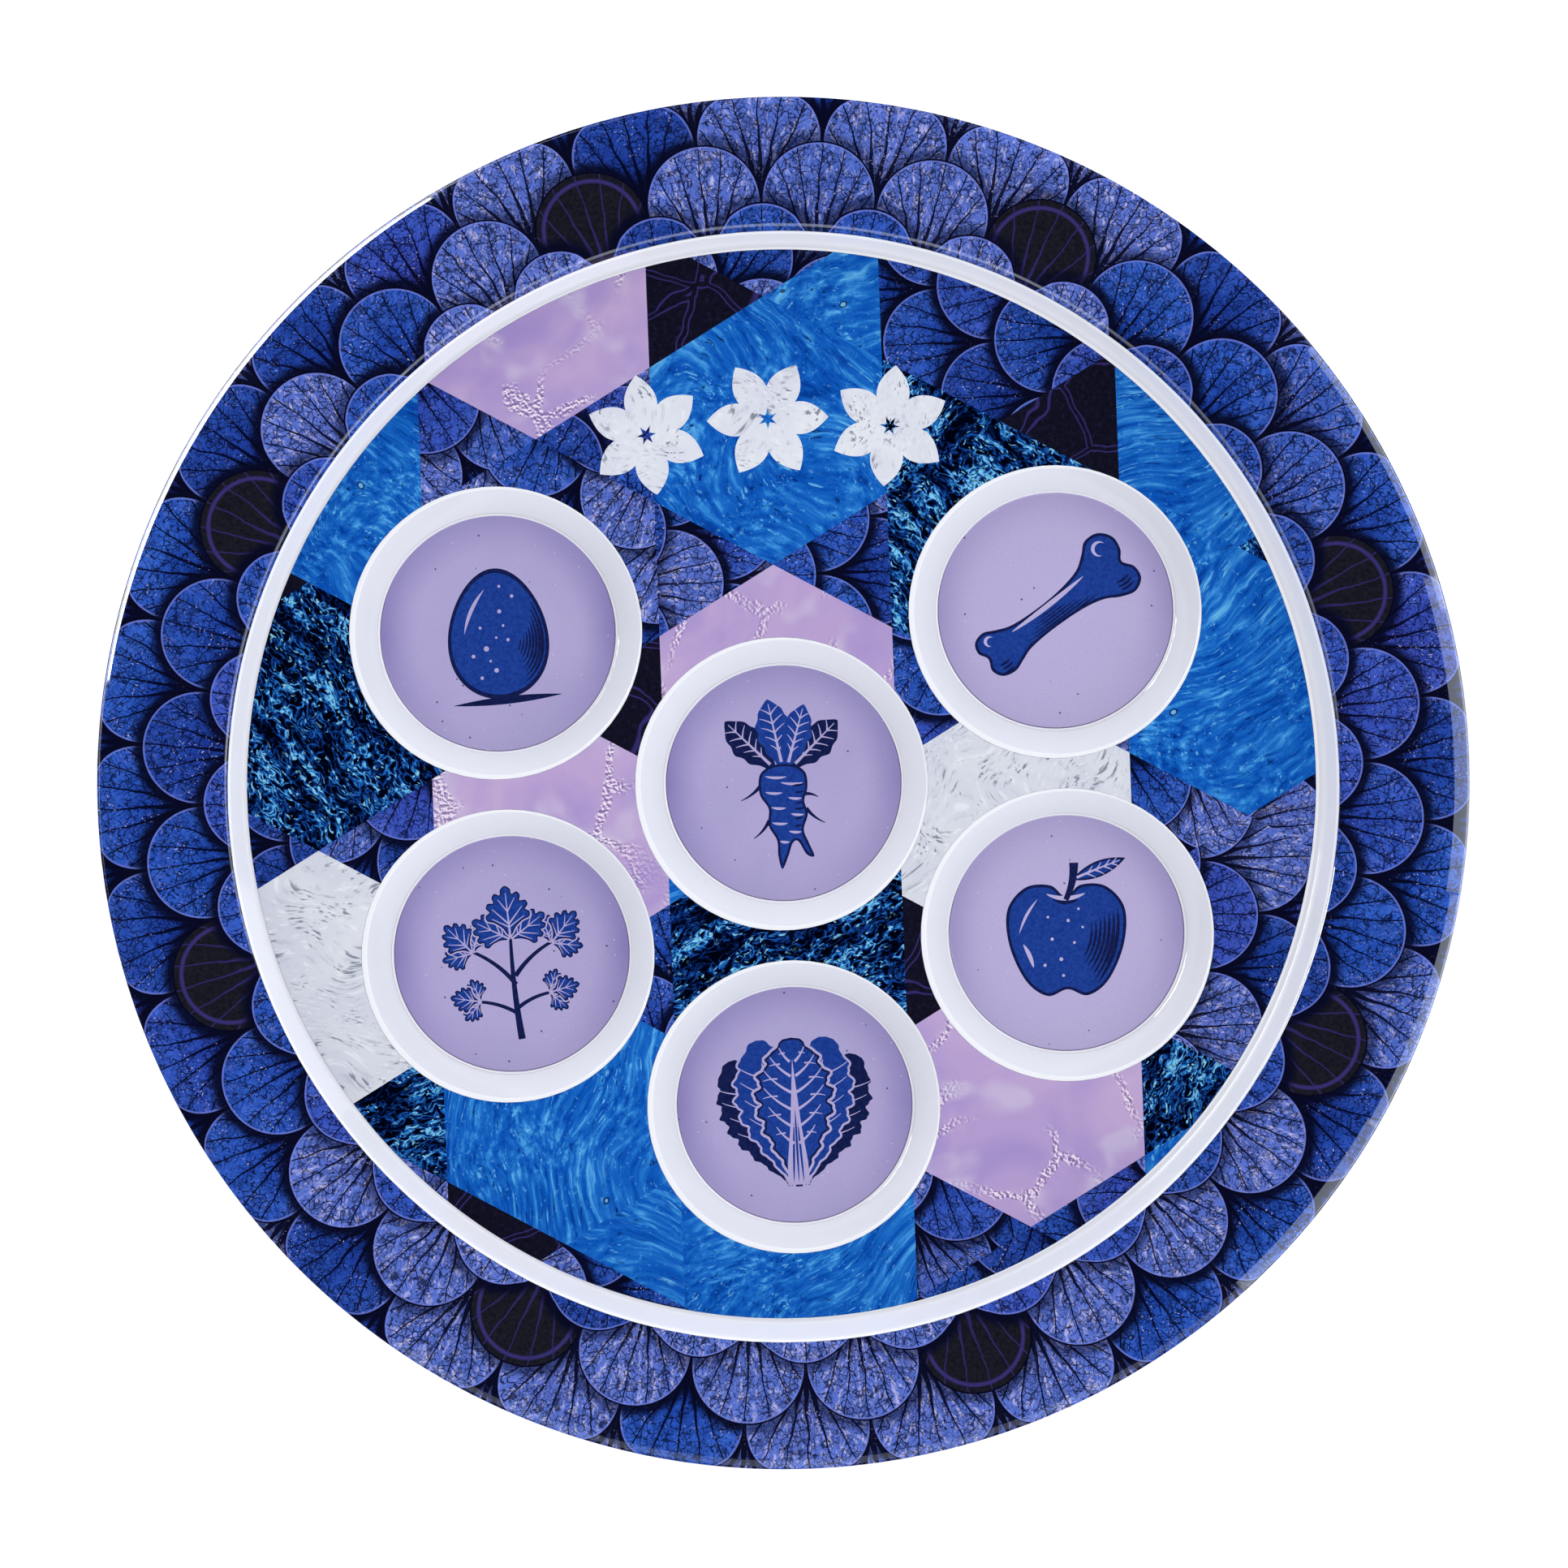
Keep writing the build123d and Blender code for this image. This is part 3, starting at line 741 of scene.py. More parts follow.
def make_rim(mat):
    net = Net()
    rows = rim_rows()
    cols = 12
    for v in rows:
        net.path([(PERIOD * i / cols, v) for i in range(cols + 1)])
    for i in range(cols + 1):
        net.path([(PERIOD * i / cols, v) for v in rows])
    for k in range(-1, 4):
        vc = ROW0 + k * HALF
        for uc in ((HALF,) if k % 2 else (0.0, PERIOD)):
            lo, hi = 0.0, math.pi
            if uc == 0.0:
                hi = math.pi / 2
            elif uc == PERIOD:
                lo = math.pi / 2
            pts = []
            for i in range(61):
                a = lo + (hi - lo) * i / 60
                pts.append((uc + HALF * math.cos(a), vc + HALF * math.sin(a)))
            # Keep what lies on the foil, ending exactly on its two edges.
            for p, q in zip(pts, pts[1:]):
                t0, t1 = 0.0, 1.0
                for edge, sign in ((0.0, 1), (RIM_LEN, -1)):
                    fp, fq = sign * (p[1] - edge), sign * (q[1] - edge)
                    if fp < 0 and fq < 0:
                        t0, t1 = 1.0, 0.0
                    elif fp < 0:
                        t0 = max(t0, fp / (fp - fq))
                    elif fq < 0:
                        t1 = min(t1, fp / (fp - fq))
                if t0 < t1:
                    net.path([tuple(p[i] + (q[i] - p[i]) * t for i in range(2)) for t in (t0, t1)])
    flat, tris = net.cut()
    tris = [
        f
        for f in tris
        if -1e-6 < sum(flat[i][0] for i in f) / 3 < PERIOD and -1e-6 < sum(flat[i][1] for i in f) / 3 < RIM_LEN
    ]
    rng = random.Random(11)
    tones = {}
    ids, top, low, normal = {}, [], [], []
    faces, uvs, baked, tone, dark = [], [], [], [], []
    turn = round(2 * math.pi * MEAN_R * 1e4)
    for t in range(SCALES):
        local = []
        for u, v in flat:
            u_all = u + t * PERIOD
            key = (round(u_all * 1e4) % turn, round(v * 1e4))
            # Columns meet within a rounding step, so neighbours share points.
            for du in (0, 1, -1):
                alt = ((key[0] + du) % turn, key[1])
                if alt in ids:
                    key = alt
                    break
            if key not in ids:
                ids[key] = len(top)
                a = u_all / MEAN_R
                r, z, h = rim_at(a, v)
                hr = math.radians(h)
                nv = Vector((-math.sin(hr) * math.cos(a), -math.sin(hr) * math.sin(a), math.cos(hr)))
                p = Vector((r * math.cos(a), r * math.sin(a), z)) - nv * SINK
                top.append(p)
                low.append(p - nv * (FOIL_T - SINK - 0.005))
                normal.append(nv)
            local.append(ids[key])
        for f in tris:
            g = tuple(local[i] for i in reversed(f))
            if len(set(g)) < 3:
                continue
            cu = sum(flat[i][0] for i in f) / 3
            cv = sum(flat[i][1] for i in f) / 3
            k, uc, vc = scale_of(cu, cv)
            index = (k, round((uc + t * PERIOD) / HALF) % (2 * SCALES))
            if index not in tones:
                # More of the pale scales at the top and the most at the foot of the plate.
                high = math.sin((uc + t * PERIOD) / MEAN_R)
                tones[index] = rng.random()
                if abs(high) < 0.62:
                    least = 0.24 if math.cos((uc + t * PERIOD) / MEAN_R) > 0 else 0.42
                    tones[index] = least + (1 - least) * tones[index]
                else:
                    tones[index] **= 2.0 if high > 0 else 2.9
            faces.append(g)
            uvs.append({local[i]: ((flat[i][0] - uc) / HALF, (flat[i][1] - vc) / HALF + 1.0) for i in f})
            sx, sy = (t % 6) * PERIOD, (t // 6) * 32.6
            baked.append(
                {local[i]: ((1.2 + sx + flat[i][0]) / 198.0, (1.2 + sy + flat[i][1]) / 198.0) for i in f}
            )
            tone.append(tones[index])
            dark.append(1.0 if k == 1 and (index[1] // 2) % 4 == 1 else 0.0)

    def edge_bake(fi, j, under):
        x, y, _ = top[j]
        outer = math.hypot(x, y) > MEAN_R
        # A point on the seam takes the side that its face is on.
        cx, cy = (sum(top[i][k] for i in faces[fi]) / 3 for k in range(2))
        mid = math.atan2(cy, cx) % (2 * math.pi)
        a = mid + (math.atan2(y, x) - mid + math.pi) % (2 * math.pi) - math.pi
        return (0.86 + (0.06 if outer else 0.0) + (0.0 if under else 0.03), 0.2 + 0.75 * a / (2 * math.pi))

    ob = foil(
        "rim_print",
        "rim_print_foil",
        top,
        low,
        normal,
        faces,
        [mat],
        [0] * len(faces),
        lambda fi, j: uvs[fi][j],
        (
            lambda fi, j: baked[fi][j],
            lambda fi, j: (0.845 + 0.14 * baked[fi][j][0], 0.01 + 0.14 * baked[fi][j][1]),
            edge_bake,
        ),
        {"tone": tone, "dark": dark},
    )
    return ob


# -------------------------------------------------------------- centre print
PITCH = 60.0                              # hexagon to hexagon
LINE = PITCH * math.sqrt(3) / 4           # the lines stand at odd multiples of this
AXES = [(math.cos(math.radians(a)), math.sin(math.radians(a))) for a in (0, 60, 120)]
ORIGIN = (0.0, 79.0)                      # centre of one hexagon

# Glass of the hexagons, by column and half row from that hexagon.
GLASS = {
    (0, 0): "azure", (0, -2): "lilac", (0, -4): "hammered", (0, -6): "azure",
    (-1, 1): "lilac", (1, 1): "cobalt", (-1, -1): "cobalt", (1, -1): "hammered",
    (-1, -3): "lilac", (1, -3): "white", (-1, -5): "azure", (1, -5): "lilac",
    (-2, 0): "azure", (2, 0): "azure", (-2, -2): "hammered", (2, -2): "azure",
    (-2, -4): "white", (2, -4): "cobalt", (-2, -6): "cobalt", (2, -6): "azure",
}
SMALL = ("cobalt", "azure", "cobalt", "navy", "cobalt", "hammered")

# Three six-petalled rosettes in a row, over the open place at the top.
ROSETTES = [(-27.2, 79.0, 8.0), (0.0, 81.6, 30.0), (27.2, 79.0, -8.0)]


def pane_of(x, y):
    """Key, glass and centre of the pane at a point of the hexagon-and-triangle pattern."""
    x, y = x - ORIGIN[0], y - ORIGIN[1]
    return pane([math.floor((ax * x + ay * y) / (2 * LINE) + 0.5) for ax, ay in AXES])


def pane(idx):
    kind = idx[0] - idx[1] + idx[2]
    d0 = 2 * LINE * (idx[0] - kind / 3)
    d1 = 2 * LINE * (idx[1] + kind / 3)
    centre = (ORIGIN[0] + d0, ORIGIN[1] + (d1 - AXES[1][0] * d0) / AXES[1][1])
    if kind == 0:
        glass = GLASS.get((idx[0], round(2 * (centre[1] - ORIGIN[1]) / PITCH)), "cobalt")
    else:
        glass = SMALL[(idx[0] * 2 + idx[1] + (3 if kind > 0 else 0)) % len(SMALL)]
    return tuple(idx), glass, centre


PANE_HALF = 12.4                          # half width of the scales in the cobalt panes


def pane_turn(key):
    """How far the scales of a cobalt pane are turned, and where they start."""
    rng = random.Random(97 * key[0] + 31 * key[1] + 7 * key[2] + 5000)
    return 30.0 + 60.0 * rng.randrange(6), rng.uniform(0, 20), rng.uniform(0, 20)


def pane_scales(net):
    """Cut lines of the scales in all cobalt panes."""
    for idx in ((i, j, k) for i in range(-4, 5) for j in range(-5, 5) for k in range(-5, 5)):
        kind = idx[0] - idx[1] + idx[2]
        if abs(kind) > 1:
            continue
        key, glass, (cx, cy) = pane(idx)
        reach = PITCH / 2 if kind == 0 else PITCH / (2 * math.sqrt(3))
        if glass != "cobalt" or math.hypot(cx, cy) > SHEET_R + reach:
            continue
        deg, ou, ov = pane_turn(key)
        for k in range(-8, 9):
            for m in range(-6, 7):
                uc = ou + 2 * PANE_HALF * m + (PANE_HALF if k % 2 else 0.0)
                vc = ov + PANE_HALF * k
                arc = [
                    (uc + PANE_HALF * math.cos(math.pi * i / 48), vc + PANE_HALF * math.sin(math.pi * i / 48))
                    for i in range(49)
                ]
                arc = [(x, y) for x, y in turned(arc, deg, cx, cy)]
                for p, q in zip(arc, arc[1:]):
                    if math.hypot(p[0] - cx, p[1] - cy) < reach + 1 and math.hypot(q[0] - cx, q[1] - cy) < reach + 1:
                        net.path([p, q])


def petals():
    """Outlines of the rosettes' petals."""
    out = []
    for x, y, deg in ROSETTES:
        for k in range(6):
            out.append(turned(leaf((0.0, 0.9), (0.0, 13.6), 0.58, 16), deg + 60 * k, x, y))
    return out


def make_centre(mats):
    net = Net()
    n_out, n_hole = 480, 240
    net.path(ring(0, 0, SHEET_R, n_out), True)
    for wx, wy in WELLS.values():
        net.path(ring(wx, wy, SHEET_HOLE_R, n_hole), True)
    far = 128.0
    for ax, ay in AXES:
        for m in range(-15, 16, 2):
            d = m * LINE + ax * ORIGIN[0] + ay * ORIGIN[1]
            if abs(d) < SHEET_R:
                net.path([(ax * d - ay * far, ay * d + ax * far), (ax * d + ay * far, ay * d - ax * far)])
    shapes = petals()
    for pts in shapes:
        net.path(pts, True)
    pane_scales(net)
    flat, tris = net.cut()
    keep, mat_of, spin, tone = [], [], [], []
    order = list(mats)
    info = {}
    rng = random.Random(5)
    for f in tris:
        x = sum(flat[i][0] for i in f) / 3
        y = sum(flat[i][1] for i in f) / 3
        if not in_ring(x, y, 0, 0, SHEET_R, n_out):
            continue
        if any(in_ring(x, y, wx, wy, SHEET_HOLE_R, n_hole) for wx, wy in WELLS.values()):
            continue
        petal = next((k for k, pts in enumerate(shapes) if in_shape(x, y, pts)), None)
        if petal is not None:
            key, glass = ("petal", petal // 6), "petal"
        else:
            key, glass, (cx, cy) = pane_of(x, y)
        if key not in info:
            info[key] = (rng.uniform(0, 2 * math.pi), rng.uniform(-900, 900), rng.uniform(-900, 900))
        keep.append(f)
        mat_of.append(order.index(glass))
        if glass == "cobalt":
            deg, ou, ov = pane_turn(key)
            (u, v), = turned([(x - cx, y - cy)], -deg)
            k, uc, vc = scale_of(u - ou, v - ov, PANE_HALF, 0.0)
            index = key + (k, round(uc / PANE_HALF))
            if index not in info:
                info[index] = rng.random()
            spin.append((deg, cx, cy, uc + ou, vc + ov))
            tone.append(info[index])
        else:
            spin.append(info[key])
            tone.append(0.5)
    used = sorted({i for f in keep for i in f})
    new = {i: k for k, i in enumerate(used)}
    pts = [flat[i] for i in used]
    faces = [tuple(new[i] for i in f) for f in keep]
    sx, sy = SHEET_SHIFT
    top = [(x + sx, y + sy, CENTRE_Z) for x, y in pts]
    low = [(x + sx, y + sy, CENTRE_Z - FOIL_T) for x, y in pts]
    holes = [(wx, wy, SHEET_HOLE_R) for wx, wy in WELLS.values()]

    def print_uv(fi, j):
        x, y = pts[j]
        if len(spin[fi]) == 5:
            deg, cx, cy, uc, vc = spin[fi]
            (u, v), = turned([(x - cx, y - cy)], -deg)
            return ((u - uc) / PANE_HALF, (v - vc) / PANE_HALF + 1.0)
        a, ox, oy = spin[fi]
        return (x * math.cos(a) - y * math.sin(a) + ox, x * math.sin(a) + y * math.cos(a) + oy)

    return foil(
        "centre_print",
        "centre_print_foil",
        top,
        low,
        [Vector((0, 0, 1))] * len(pts),
        faces,
        [mats[k] for k in order],
        mat_of,
        print_uv,
        disc_bake(pts, 0, 0, SHEET_R, holes),
        {"tone": tone, "dark": [0.0] * len(tone)},
    )


# ------------------------------------------------------------------ pictures
def spline(ctrl, per=8):
    """Closed smooth outline through the control points."""
    n, out = len(ctrl), []
    for i in range(n):
        p0, p1, p2, p3 = (ctrl[(i + k) % n] for k in (-1, 0, 1, 2))
        for j in range(per):
            t = j / per
            out.append(
                tuple(
                    0.5
                    * (
                        2 * p1[a]
                        + (p2[a] - p0[a]) * t
                        + (2 * p0[a] - 5 * p1[a] + 4 * p2[a] - p3[a]) * t * t
                        + (3 * p1[a] - p0[a] - 3 * p2[a] + p3[a]) * t ** 3
                    )
                    for a in range(2)
                )
            )
    return out


def stroke(pts, w0, w1):
    """Tapered line along points."""
    left, right = [], []
    n = len(pts)
    for i, (x, y) in enumerate(pts):
        x0, y0 = pts[max(0, i - 1)]
        x1, y1 = pts[min(n - 1, i + 1)]
        d = math.hypot(x1 - x0, y1 - y0)
        w = (w0 + (w1 - w0) * i / (n - 1)) / 2
        nx, ny = -(y1 - y0) / d * w, (x1 - x0) / d * w
        left.append((x + nx, y + ny))
        right.append((x - nx, y - ny))
    return left + right[::-1]


def bend(p, q, bulge, n=10):
    """Points of a shallow curve from p to q."""
    mx, my = (p[0] + q[0]) / 2 - (q[1] - p[1]) * bulge, (p[1] + q[1]) / 2 + (q[0] - p[0]) * bulge
    return [
        tuple((1 - t) ** 2 * p[a] + 2 * t * (1 - t) * (mx, my)[a] + t * t * q[a] for a in range(2))
        for t in (i / n for i in range(n + 1))
    ]


def leaf(p, q, width, n=14):
    """Pointed leaf from p to q."""
    return bend(p, q, width, n) + bend(q, p, width, n)[1:-1]


def mirrored(half):
    """Closed outline from its right half, which runs from the top to the bottom."""
    return half + [(-x, y) for x, y in half[-2:0:-1]]


def engraved(p, q, bulge, w):
    """Shallow curve cut as a burin cuts it."""
    return cut_line(bend(p, q, bulge, 12), w)


def cut_line(pts, w):
    """Line that swells from nothing and ends in nothing."""
    left, right = [], []
    n = len(pts)
    for i, (x, y) in enumerate(pts):
        x0, y0 = pts[max(0, i - 1)]
        x1, y1 = pts[min(n - 1, i + 1)]
        d = math.hypot(x1 - x0, y1 - y0)
        half = w / 2 * (0.12 + math.sin(math.pi * i / (n - 1)) ** 0.7)
        nx, ny = -(y1 - y0) / d * half, (x1 - x0) / d * half
        left.append((x + nx, y + ny))
        right.append((x - nx, y - ny))
    return left + right[::-1]


def inside_of(pts, by):
    """The outline moved inwards by about that much."""
    n, out = len(pts), []
    area = sum(pts[i][0] * pts[(i + 1) % n][1] - pts[i][1] * pts[(i + 1) % n][0] for i in range(n))
    s = by if area > 0 else -by
    for i in range(n):
        x0, y0 = pts[i - 1]
        x1, y1 = pts[(i + 1) % n]
        d = math.hypot(x1 - x0, y1 - y0) or 1.0
        out.append((pts[i][0] - (y1 - y0) / d * s, pts[i][1] + (x1 - x0) / d * s))
    return out


def egg_picture():
    def oval(k):
        return [
            (k * 10.4 * math.sin(t) * (1 - 0.16 * math.cos(t)), k * 13.6 * math.cos(t))
            for t in (2 * math.pi * i / 80 for i in range(80))
        ]

    ops = [("b", leaf((-10.4, -14.4), (12.6, -13.4), 0.07)), ("b", oval(1.0)), ("a", oval(0.93))]
    # Shade in curved lines down the right side.
    for i in range(8):
        k = 0.875 - 0.062 * i
        lo, hi = 2.62 - 0.05 * i, 1.02 + 0.11 * i
        line = [
            (k * 10.4 * math.sin(t) * (1 - 0.16 * math.cos(t)), k * 13.6 * math.cos(t))
            for t in (lo + (hi - lo) * j / 16 for j in range(17))
        ]
        ops.append(("b", cut_line(line, 0.62 - 0.05 * i)))
    ops.append(("", bend((-7.0, 0.2), (-2.2, 9.4), 0.21) + bend((-2.2, 9.4), (-7.0, 0.2), -0.06)[1:-1]))
    for x, y, r in (
        (0.6, 4.6, 0.42), (-2.6, -3.0, 0.55), (2.0, -1.4, 0.34), (-5.4, -4.4, 0.40), (-0.8, -7.6, 0.48), (3.4, 7.6, 0.36),
        (-3.6, 1.4, 0.30), (-3.9, -9.0, 0.36), (1.2, 1.6, 0.28), (-0.4, -0.8, 0.26), (-1.9, -5.6, 0.26), (0.9, 9.8, 0.30),
    ):
        ops.append(("", ring(x, y, r, 12)))
    return ops


def bone_picture():
    up = [
        (-17.2, 0.3), (-18.2, 2.4), (-17.4, 4.6), (-14.9, 5.3), (-12.4, 4.2), (-9.0, 3.0), (-3.0, 2.6), (3.0, 2.9),
        (8.2, 4.0), (11.2, 6.0), (13.4, 7.9), (16.6, 7.7), (18.7, 5.2), (18.5, 2.2), (17.2, 0.0),
    ]
    down = [
        (18.7, -2.4), (18.4, -5.2), (15.8, -6.7), (12.6, -5.8), (9.4, -4.1), (4.6, -3.1), (-2.6, -2.8), (-8.4, -3.2),
        (-11.4, -4.2), (-14.0, -5.1), (-16.8, -4.4), (-18.0, -2.2),
    ]
    body = spline(up + down, 6)
    ops = [("b", body), ("a", inside_of(body, 0.62))]
    for i in range(6):
        y = -2.1 + 0.62 * i
        ops.append(("b", engraved((-9.2 + 1.1 * i, y - 0.35), (9.6 - 1.7 * i, y - 0.35), -0.012, 0.42 - 0.035 * i)))
    ops.append(("", engraved((-9.8, 1.85), (8.8, 2.25), -0.03, 0.95)))
    for x, y, r in ((14.9, 4.9, 1.6), (-14.9, 3.1, 1.1)):
        ops += [("", ring(x, y, r, 22)), ("a", ring(x + 0.35, y - 0.35, r * 0.85, 22))]
    for x, y, d, w in ((15.2, -3.6, 3.4, 0.5), (-14.8, -2.9, 2.8, 0.45)):
        for i in range(3):
            ops.append(("b", engraved((x - d / 2, y - 0.9 * i + 0.6), (x + d / 2, y - 0.9 * i + 0.6), -0.14, w)))
    return [(ink, turned(pts, 36)) for ink, pts in ops]


def root_picture():
    body = spline(
        [
            (-4.4, 2.6), (-1.8, 3.9), (1.9, 3.8), (4.5, 2.2), (4.9, -1.0), (4.1, -3.8), (4.7, -6.6), (3.7, -9.8), (4.6, -12.6),
            (5.6, -15.4), (4.0, -15.0), (2.4, -12.2), (1.2, -12.6), (0.2, -15.2), (-1.2, -17.8), (-1.9, -15.0), (-2.0, -11.8),
            (-3.6, -8.6), (-3.4, -5.2), (-5.0, -2.4), (-5.2, 0.6),
        ],
        6,
    )
    ops = []
    # Broad leaves with a wavy edge, behind the root.
    for ink, base, tip, wide, waves in (
        ("b", (-1.6, 3.0), (-11.6, 13.4), 3.3, 4), ("b", (1.6, 3.0), (11.8, 12.6), 3.3, 4), ("a", (0.0, 3.0), (-2.6, 17.6), 3.5, 5),
        ("a", (0.8, 3.0), (5.0, 16.2), 2.9, 4),
    ):
        dx, dy = tip[0] - base[0], tip[1] - base[1]
        n = 48
        side = []
        for i in range(n + 1):
            t = i / n
            w = wide * math.sin(math.pi * t ** 1.25) ** 0.8 + 0.28 * math.sin(2 * math.pi * waves * t) * math.sin(math.pi * t) + 0.32 * (1 - t)
            side.append((t, max(0.0, w)))
        d = math.hypot(dx, dy)
        ux, uy = dx / d, dy / d
        right = [(base[0] + dx * t + uy * w, base[1] + dy * t - ux * w) for t, w in side]
        left = [(base[0] + dx * t - uy * w, base[1] + dy * t + ux * w) for t, w in side]
        shape = right + left[-2::-1]
        ops.append((ink, shape))
        mid = (base[0] + dx * 0.93, base[1] + dy * 0.93)
        ops.append(("", stroke(bend((base[0] + dx * 0.1, base[1] + dy * 0.1), mid, 0.0, 8), 0.66, 0.16)))
        for k in range(5):
            t = 0.26 + 0.13 * k
            px, py = base[0] + dx * t, base[1] + dy * t
            r = wide * math.sin(math.pi * t ** 1.25) * 0.72
            for s in (1, -1):
                qx, qy = px + ux * 1.5 + s * uy * r, py + uy * 1.5 - s * ux * r
                ops.append(("", stroke(bend((px, py), (qx, qy), 0.08 * s, 5), 0.36, 0.12)))
    ops += [("b", body), ("a", inside_of(body, 0.52))]
    for y, x0, x1 in ((1.6, -3.8, 0.6), (0.2, -0.6, 4.0), (-1.7, -3.9, -0.4), (-3.0, 0.8, 3.6), (-4.9, -2.8, 0.2), (-6.4, 1.2, 3.9), (-8.1, -2.8, 0.4), (-10.0, 0.6, 3.2), (-12.0, -1.4, 0.6)):
        ops.append(("", engraved((x0, y), (x1, y - 0.25), -0.13, 0.5)))
    for y, x0, x1 in ((-0.5, 1.8, 4.3), (-2.0, 2.2, 4.2), (-4.2, 2.2, 3.9), (-5.4, 2.0, 4.2), (-7.4, 1.8, 3.7), (-9.0, 1.8, 3.3)):
        ops.append(("b", engraved((x0, y), (x1, y + 0.2), -0.10, 0.42)))
    for p, q, b in (((-4.9, -0.4), (-9.0, -3.2), 0.12), ((4.4, -5.4), (8.2, -8.6), -0.14), ((-3.4, -7.6), (-6.8, -11.2), 0.14), ((4.2, -2.4), (7.0, -3.2), 0.18)):
        ops.append(("b", stroke(bend(p, q, b), 0.85, 0.16)))
    return ops


LEAFLET = [
    (0.0, 9.4), (0.95, 8.7), (1.15, 7.7), (2.15, 8.1), (2.75, 7.3), (2.55, 6.3), (3.65, 6.3), (4.05, 5.4), (3.45, 4.6), (4.25, 4.0),
    (4.05, 3.0), (2.75, 2.5), (1.25, 1.3), (0.4, 0.0),
]


def sprig_picture():
    ops = []
    shape = spline(LEAFLET + [(-x, y) for x, y in LEAFLET[:0:-1]], 4)
    # Stems first, then the leaflets from the back to the front.
    for p, q, b, w in (
        ((0.7, -17.8), (0.0, 3.4), 0.035, 1.5), ((0.4, -6.4), (-8.4, 1.2), -0.13, 1.0), ((0.4, -4.6), (8.8, 2.0), 0.13, 1.0),
        ((0.5, -12.6), (-7.6, -9.4), -0.13, 0.85), ((0.5, -11.2), (7.6, -8.6), 0.13, 0.85),
    ):
        ops.append(("b", stroke(bend(p, q, b, 14), w, 0.62)))
    groups = ((-7.2, -9.4, 78, 0.62), (7.2, -8.6, -78, 0.62), (-8.0, 0.8, 42, 0.80), (8.4, 1.6, -42, 0.80), (0.0, 3.0, 2, 1.08))
    for gx, gy, gdeg, k in groups:
        for fan, ox, oy, kk in ((58, -0.5, 0.3, 0.82), (-58, 0.5, 0.3, 0.82), (0, 0.0, 1.0, 1.0)):
            (cx, cy), = turned([(ox, oy)], gdeg, gx, gy, k)
            size, deg = k * kk, gdeg + fan
            ops.append(("", turned(inside_of(shape, -0.30 / size), deg, cx, cy, size)))
            ops.append(("b", turned(shape, deg, cx, cy, size)))
            ops.append(("a", turned(inside_of(shape, 0.30 / size), deg, cx, cy, size)))
            for p, q, w in (
                ((0.0, -0.4), (0.0, 8.0), 0.46), ((0.0, 2.0), (2.9, 5.2), 0.36), ((0.0, 2.0), (-2.9, 5.2), 0.36), ((0.0, 1.4), (3.1, 3.3), 0.30),
                ((0.0, 1.4), (-3.1, 3.3), 0.30), ((0.0, 4.4), (1.6, 6.9), 0.28), ((0.0, 4.4), (-1.6, 6.9), 0.28),
            ):
                ops.append(("", turned(stroke(bend(p, q, 0.0, 5), w / size ** 0.5, 0.12), deg, cx, cy, size)))
    return ops


def frilled(wide, tall, frill, count, turn=0.0):
    """Outline of a long leaf with a frilled edge, from its foot at the origin up to (0, tall)."""
    half = []
    n = 110
    for i in range(n + 1):
        t = 1 - i / n
        w = wide * (math.sin(math.pi * (0.07 + 0.90 * t ** 1.35)) ** 0.75 - 0.30 * (1 - t) ** 3)
        f = frill * math.sin(math.pi * t) ** 0.6 * t ** 0.5
        w += f * math.sin(2 * math.pi * count * t + turn) + 0.4 * f * math.sin(2 * math.pi * count * 2.3 * t + 1 + turn)
        half.append((0.0 if i == 0 else max(0.7, w), tall * t))
    return half + [(-x, y) for x, y in half[:0:-1]]


def lettuce_picture():
    ops = []
    for ink, deg, k, ox, ph in (("b", 24, 0.90, -1.6, 0.0), ("b", -24, 0.90, 1.6, 2.0), ("a", 12, 0.97, -0.9, 1.0), ("a", -12, 0.97, 0.9, 3.0)):
        shape = turned(frilled(7.4, 32.0, 0.75, 8, ph), deg, ox, -16.6, k)
        ops.append(("", inside_of(shape, -0.45)))
        ops.append((ink, shape))
        for p, q in (((0.0, 1.0), (0.0, 27.0)),):
            ops.append(("", turned(stroke(bend(p, q, 0.0, 8), 1.2, 0.2), deg, ox, -16.6, k)))
        for y in (12.0, 16.0, 20.0, 23.6):
            for s in (1, -1):
                ops.append(("", turned(stroke(bend((0.0, y), (s * 5.6, y + 4.2), -0.12 * s, 7), 0.42, 0.12), deg, ox, -16.6, k)))
    front = turned(frilled(7.9, 31.0, 0.9, 8, 1.6), 0, 0.0, -17.0)
    ops.append(("", inside_of(front, -0.55)))
    ops += [("b", front), ("a", inside_of(front, 0.45))]
    rib = [(0.0, 9.6), (0.45, 4.0), (1.1, -4.0), (2.1, -12.0), (2.3, -16.6)]
    ops.append(("", rib + [(-x, y) for x, y in rib[:0:-1]]))
    for x in (-0.9, 0.0, 0.9):
        ops.append(("a", engraved((x * 1.15, -16.0), (x * 0.45, -4.0 + 3 * (1 - abs(x))), 0.0, 0.42)))
    for y, dx, dy in ((-8.0, 4.0, 3.6), (-4.6, 5.4, 4.4), (-1.0, 6.2, 4.8), (2.6, 6.0, 4.8), (6.0, 4.6, 4.2), (9.0, 2.6, 3.0)):
        for s in (1, -1):
            ops.append(("", stroke(bend((s * 0.5, y), (s * dx, y + dy), -0.12 * s, 8), 0.62, 0.16)))
            ops.append(("", stroke(bend((s * dx * 0.55, y + dy * 0.62), (s * dx * 1.05, y + dy * 0.55), 0.10 * s, 6), 0.36, 0.12)))
    return ops


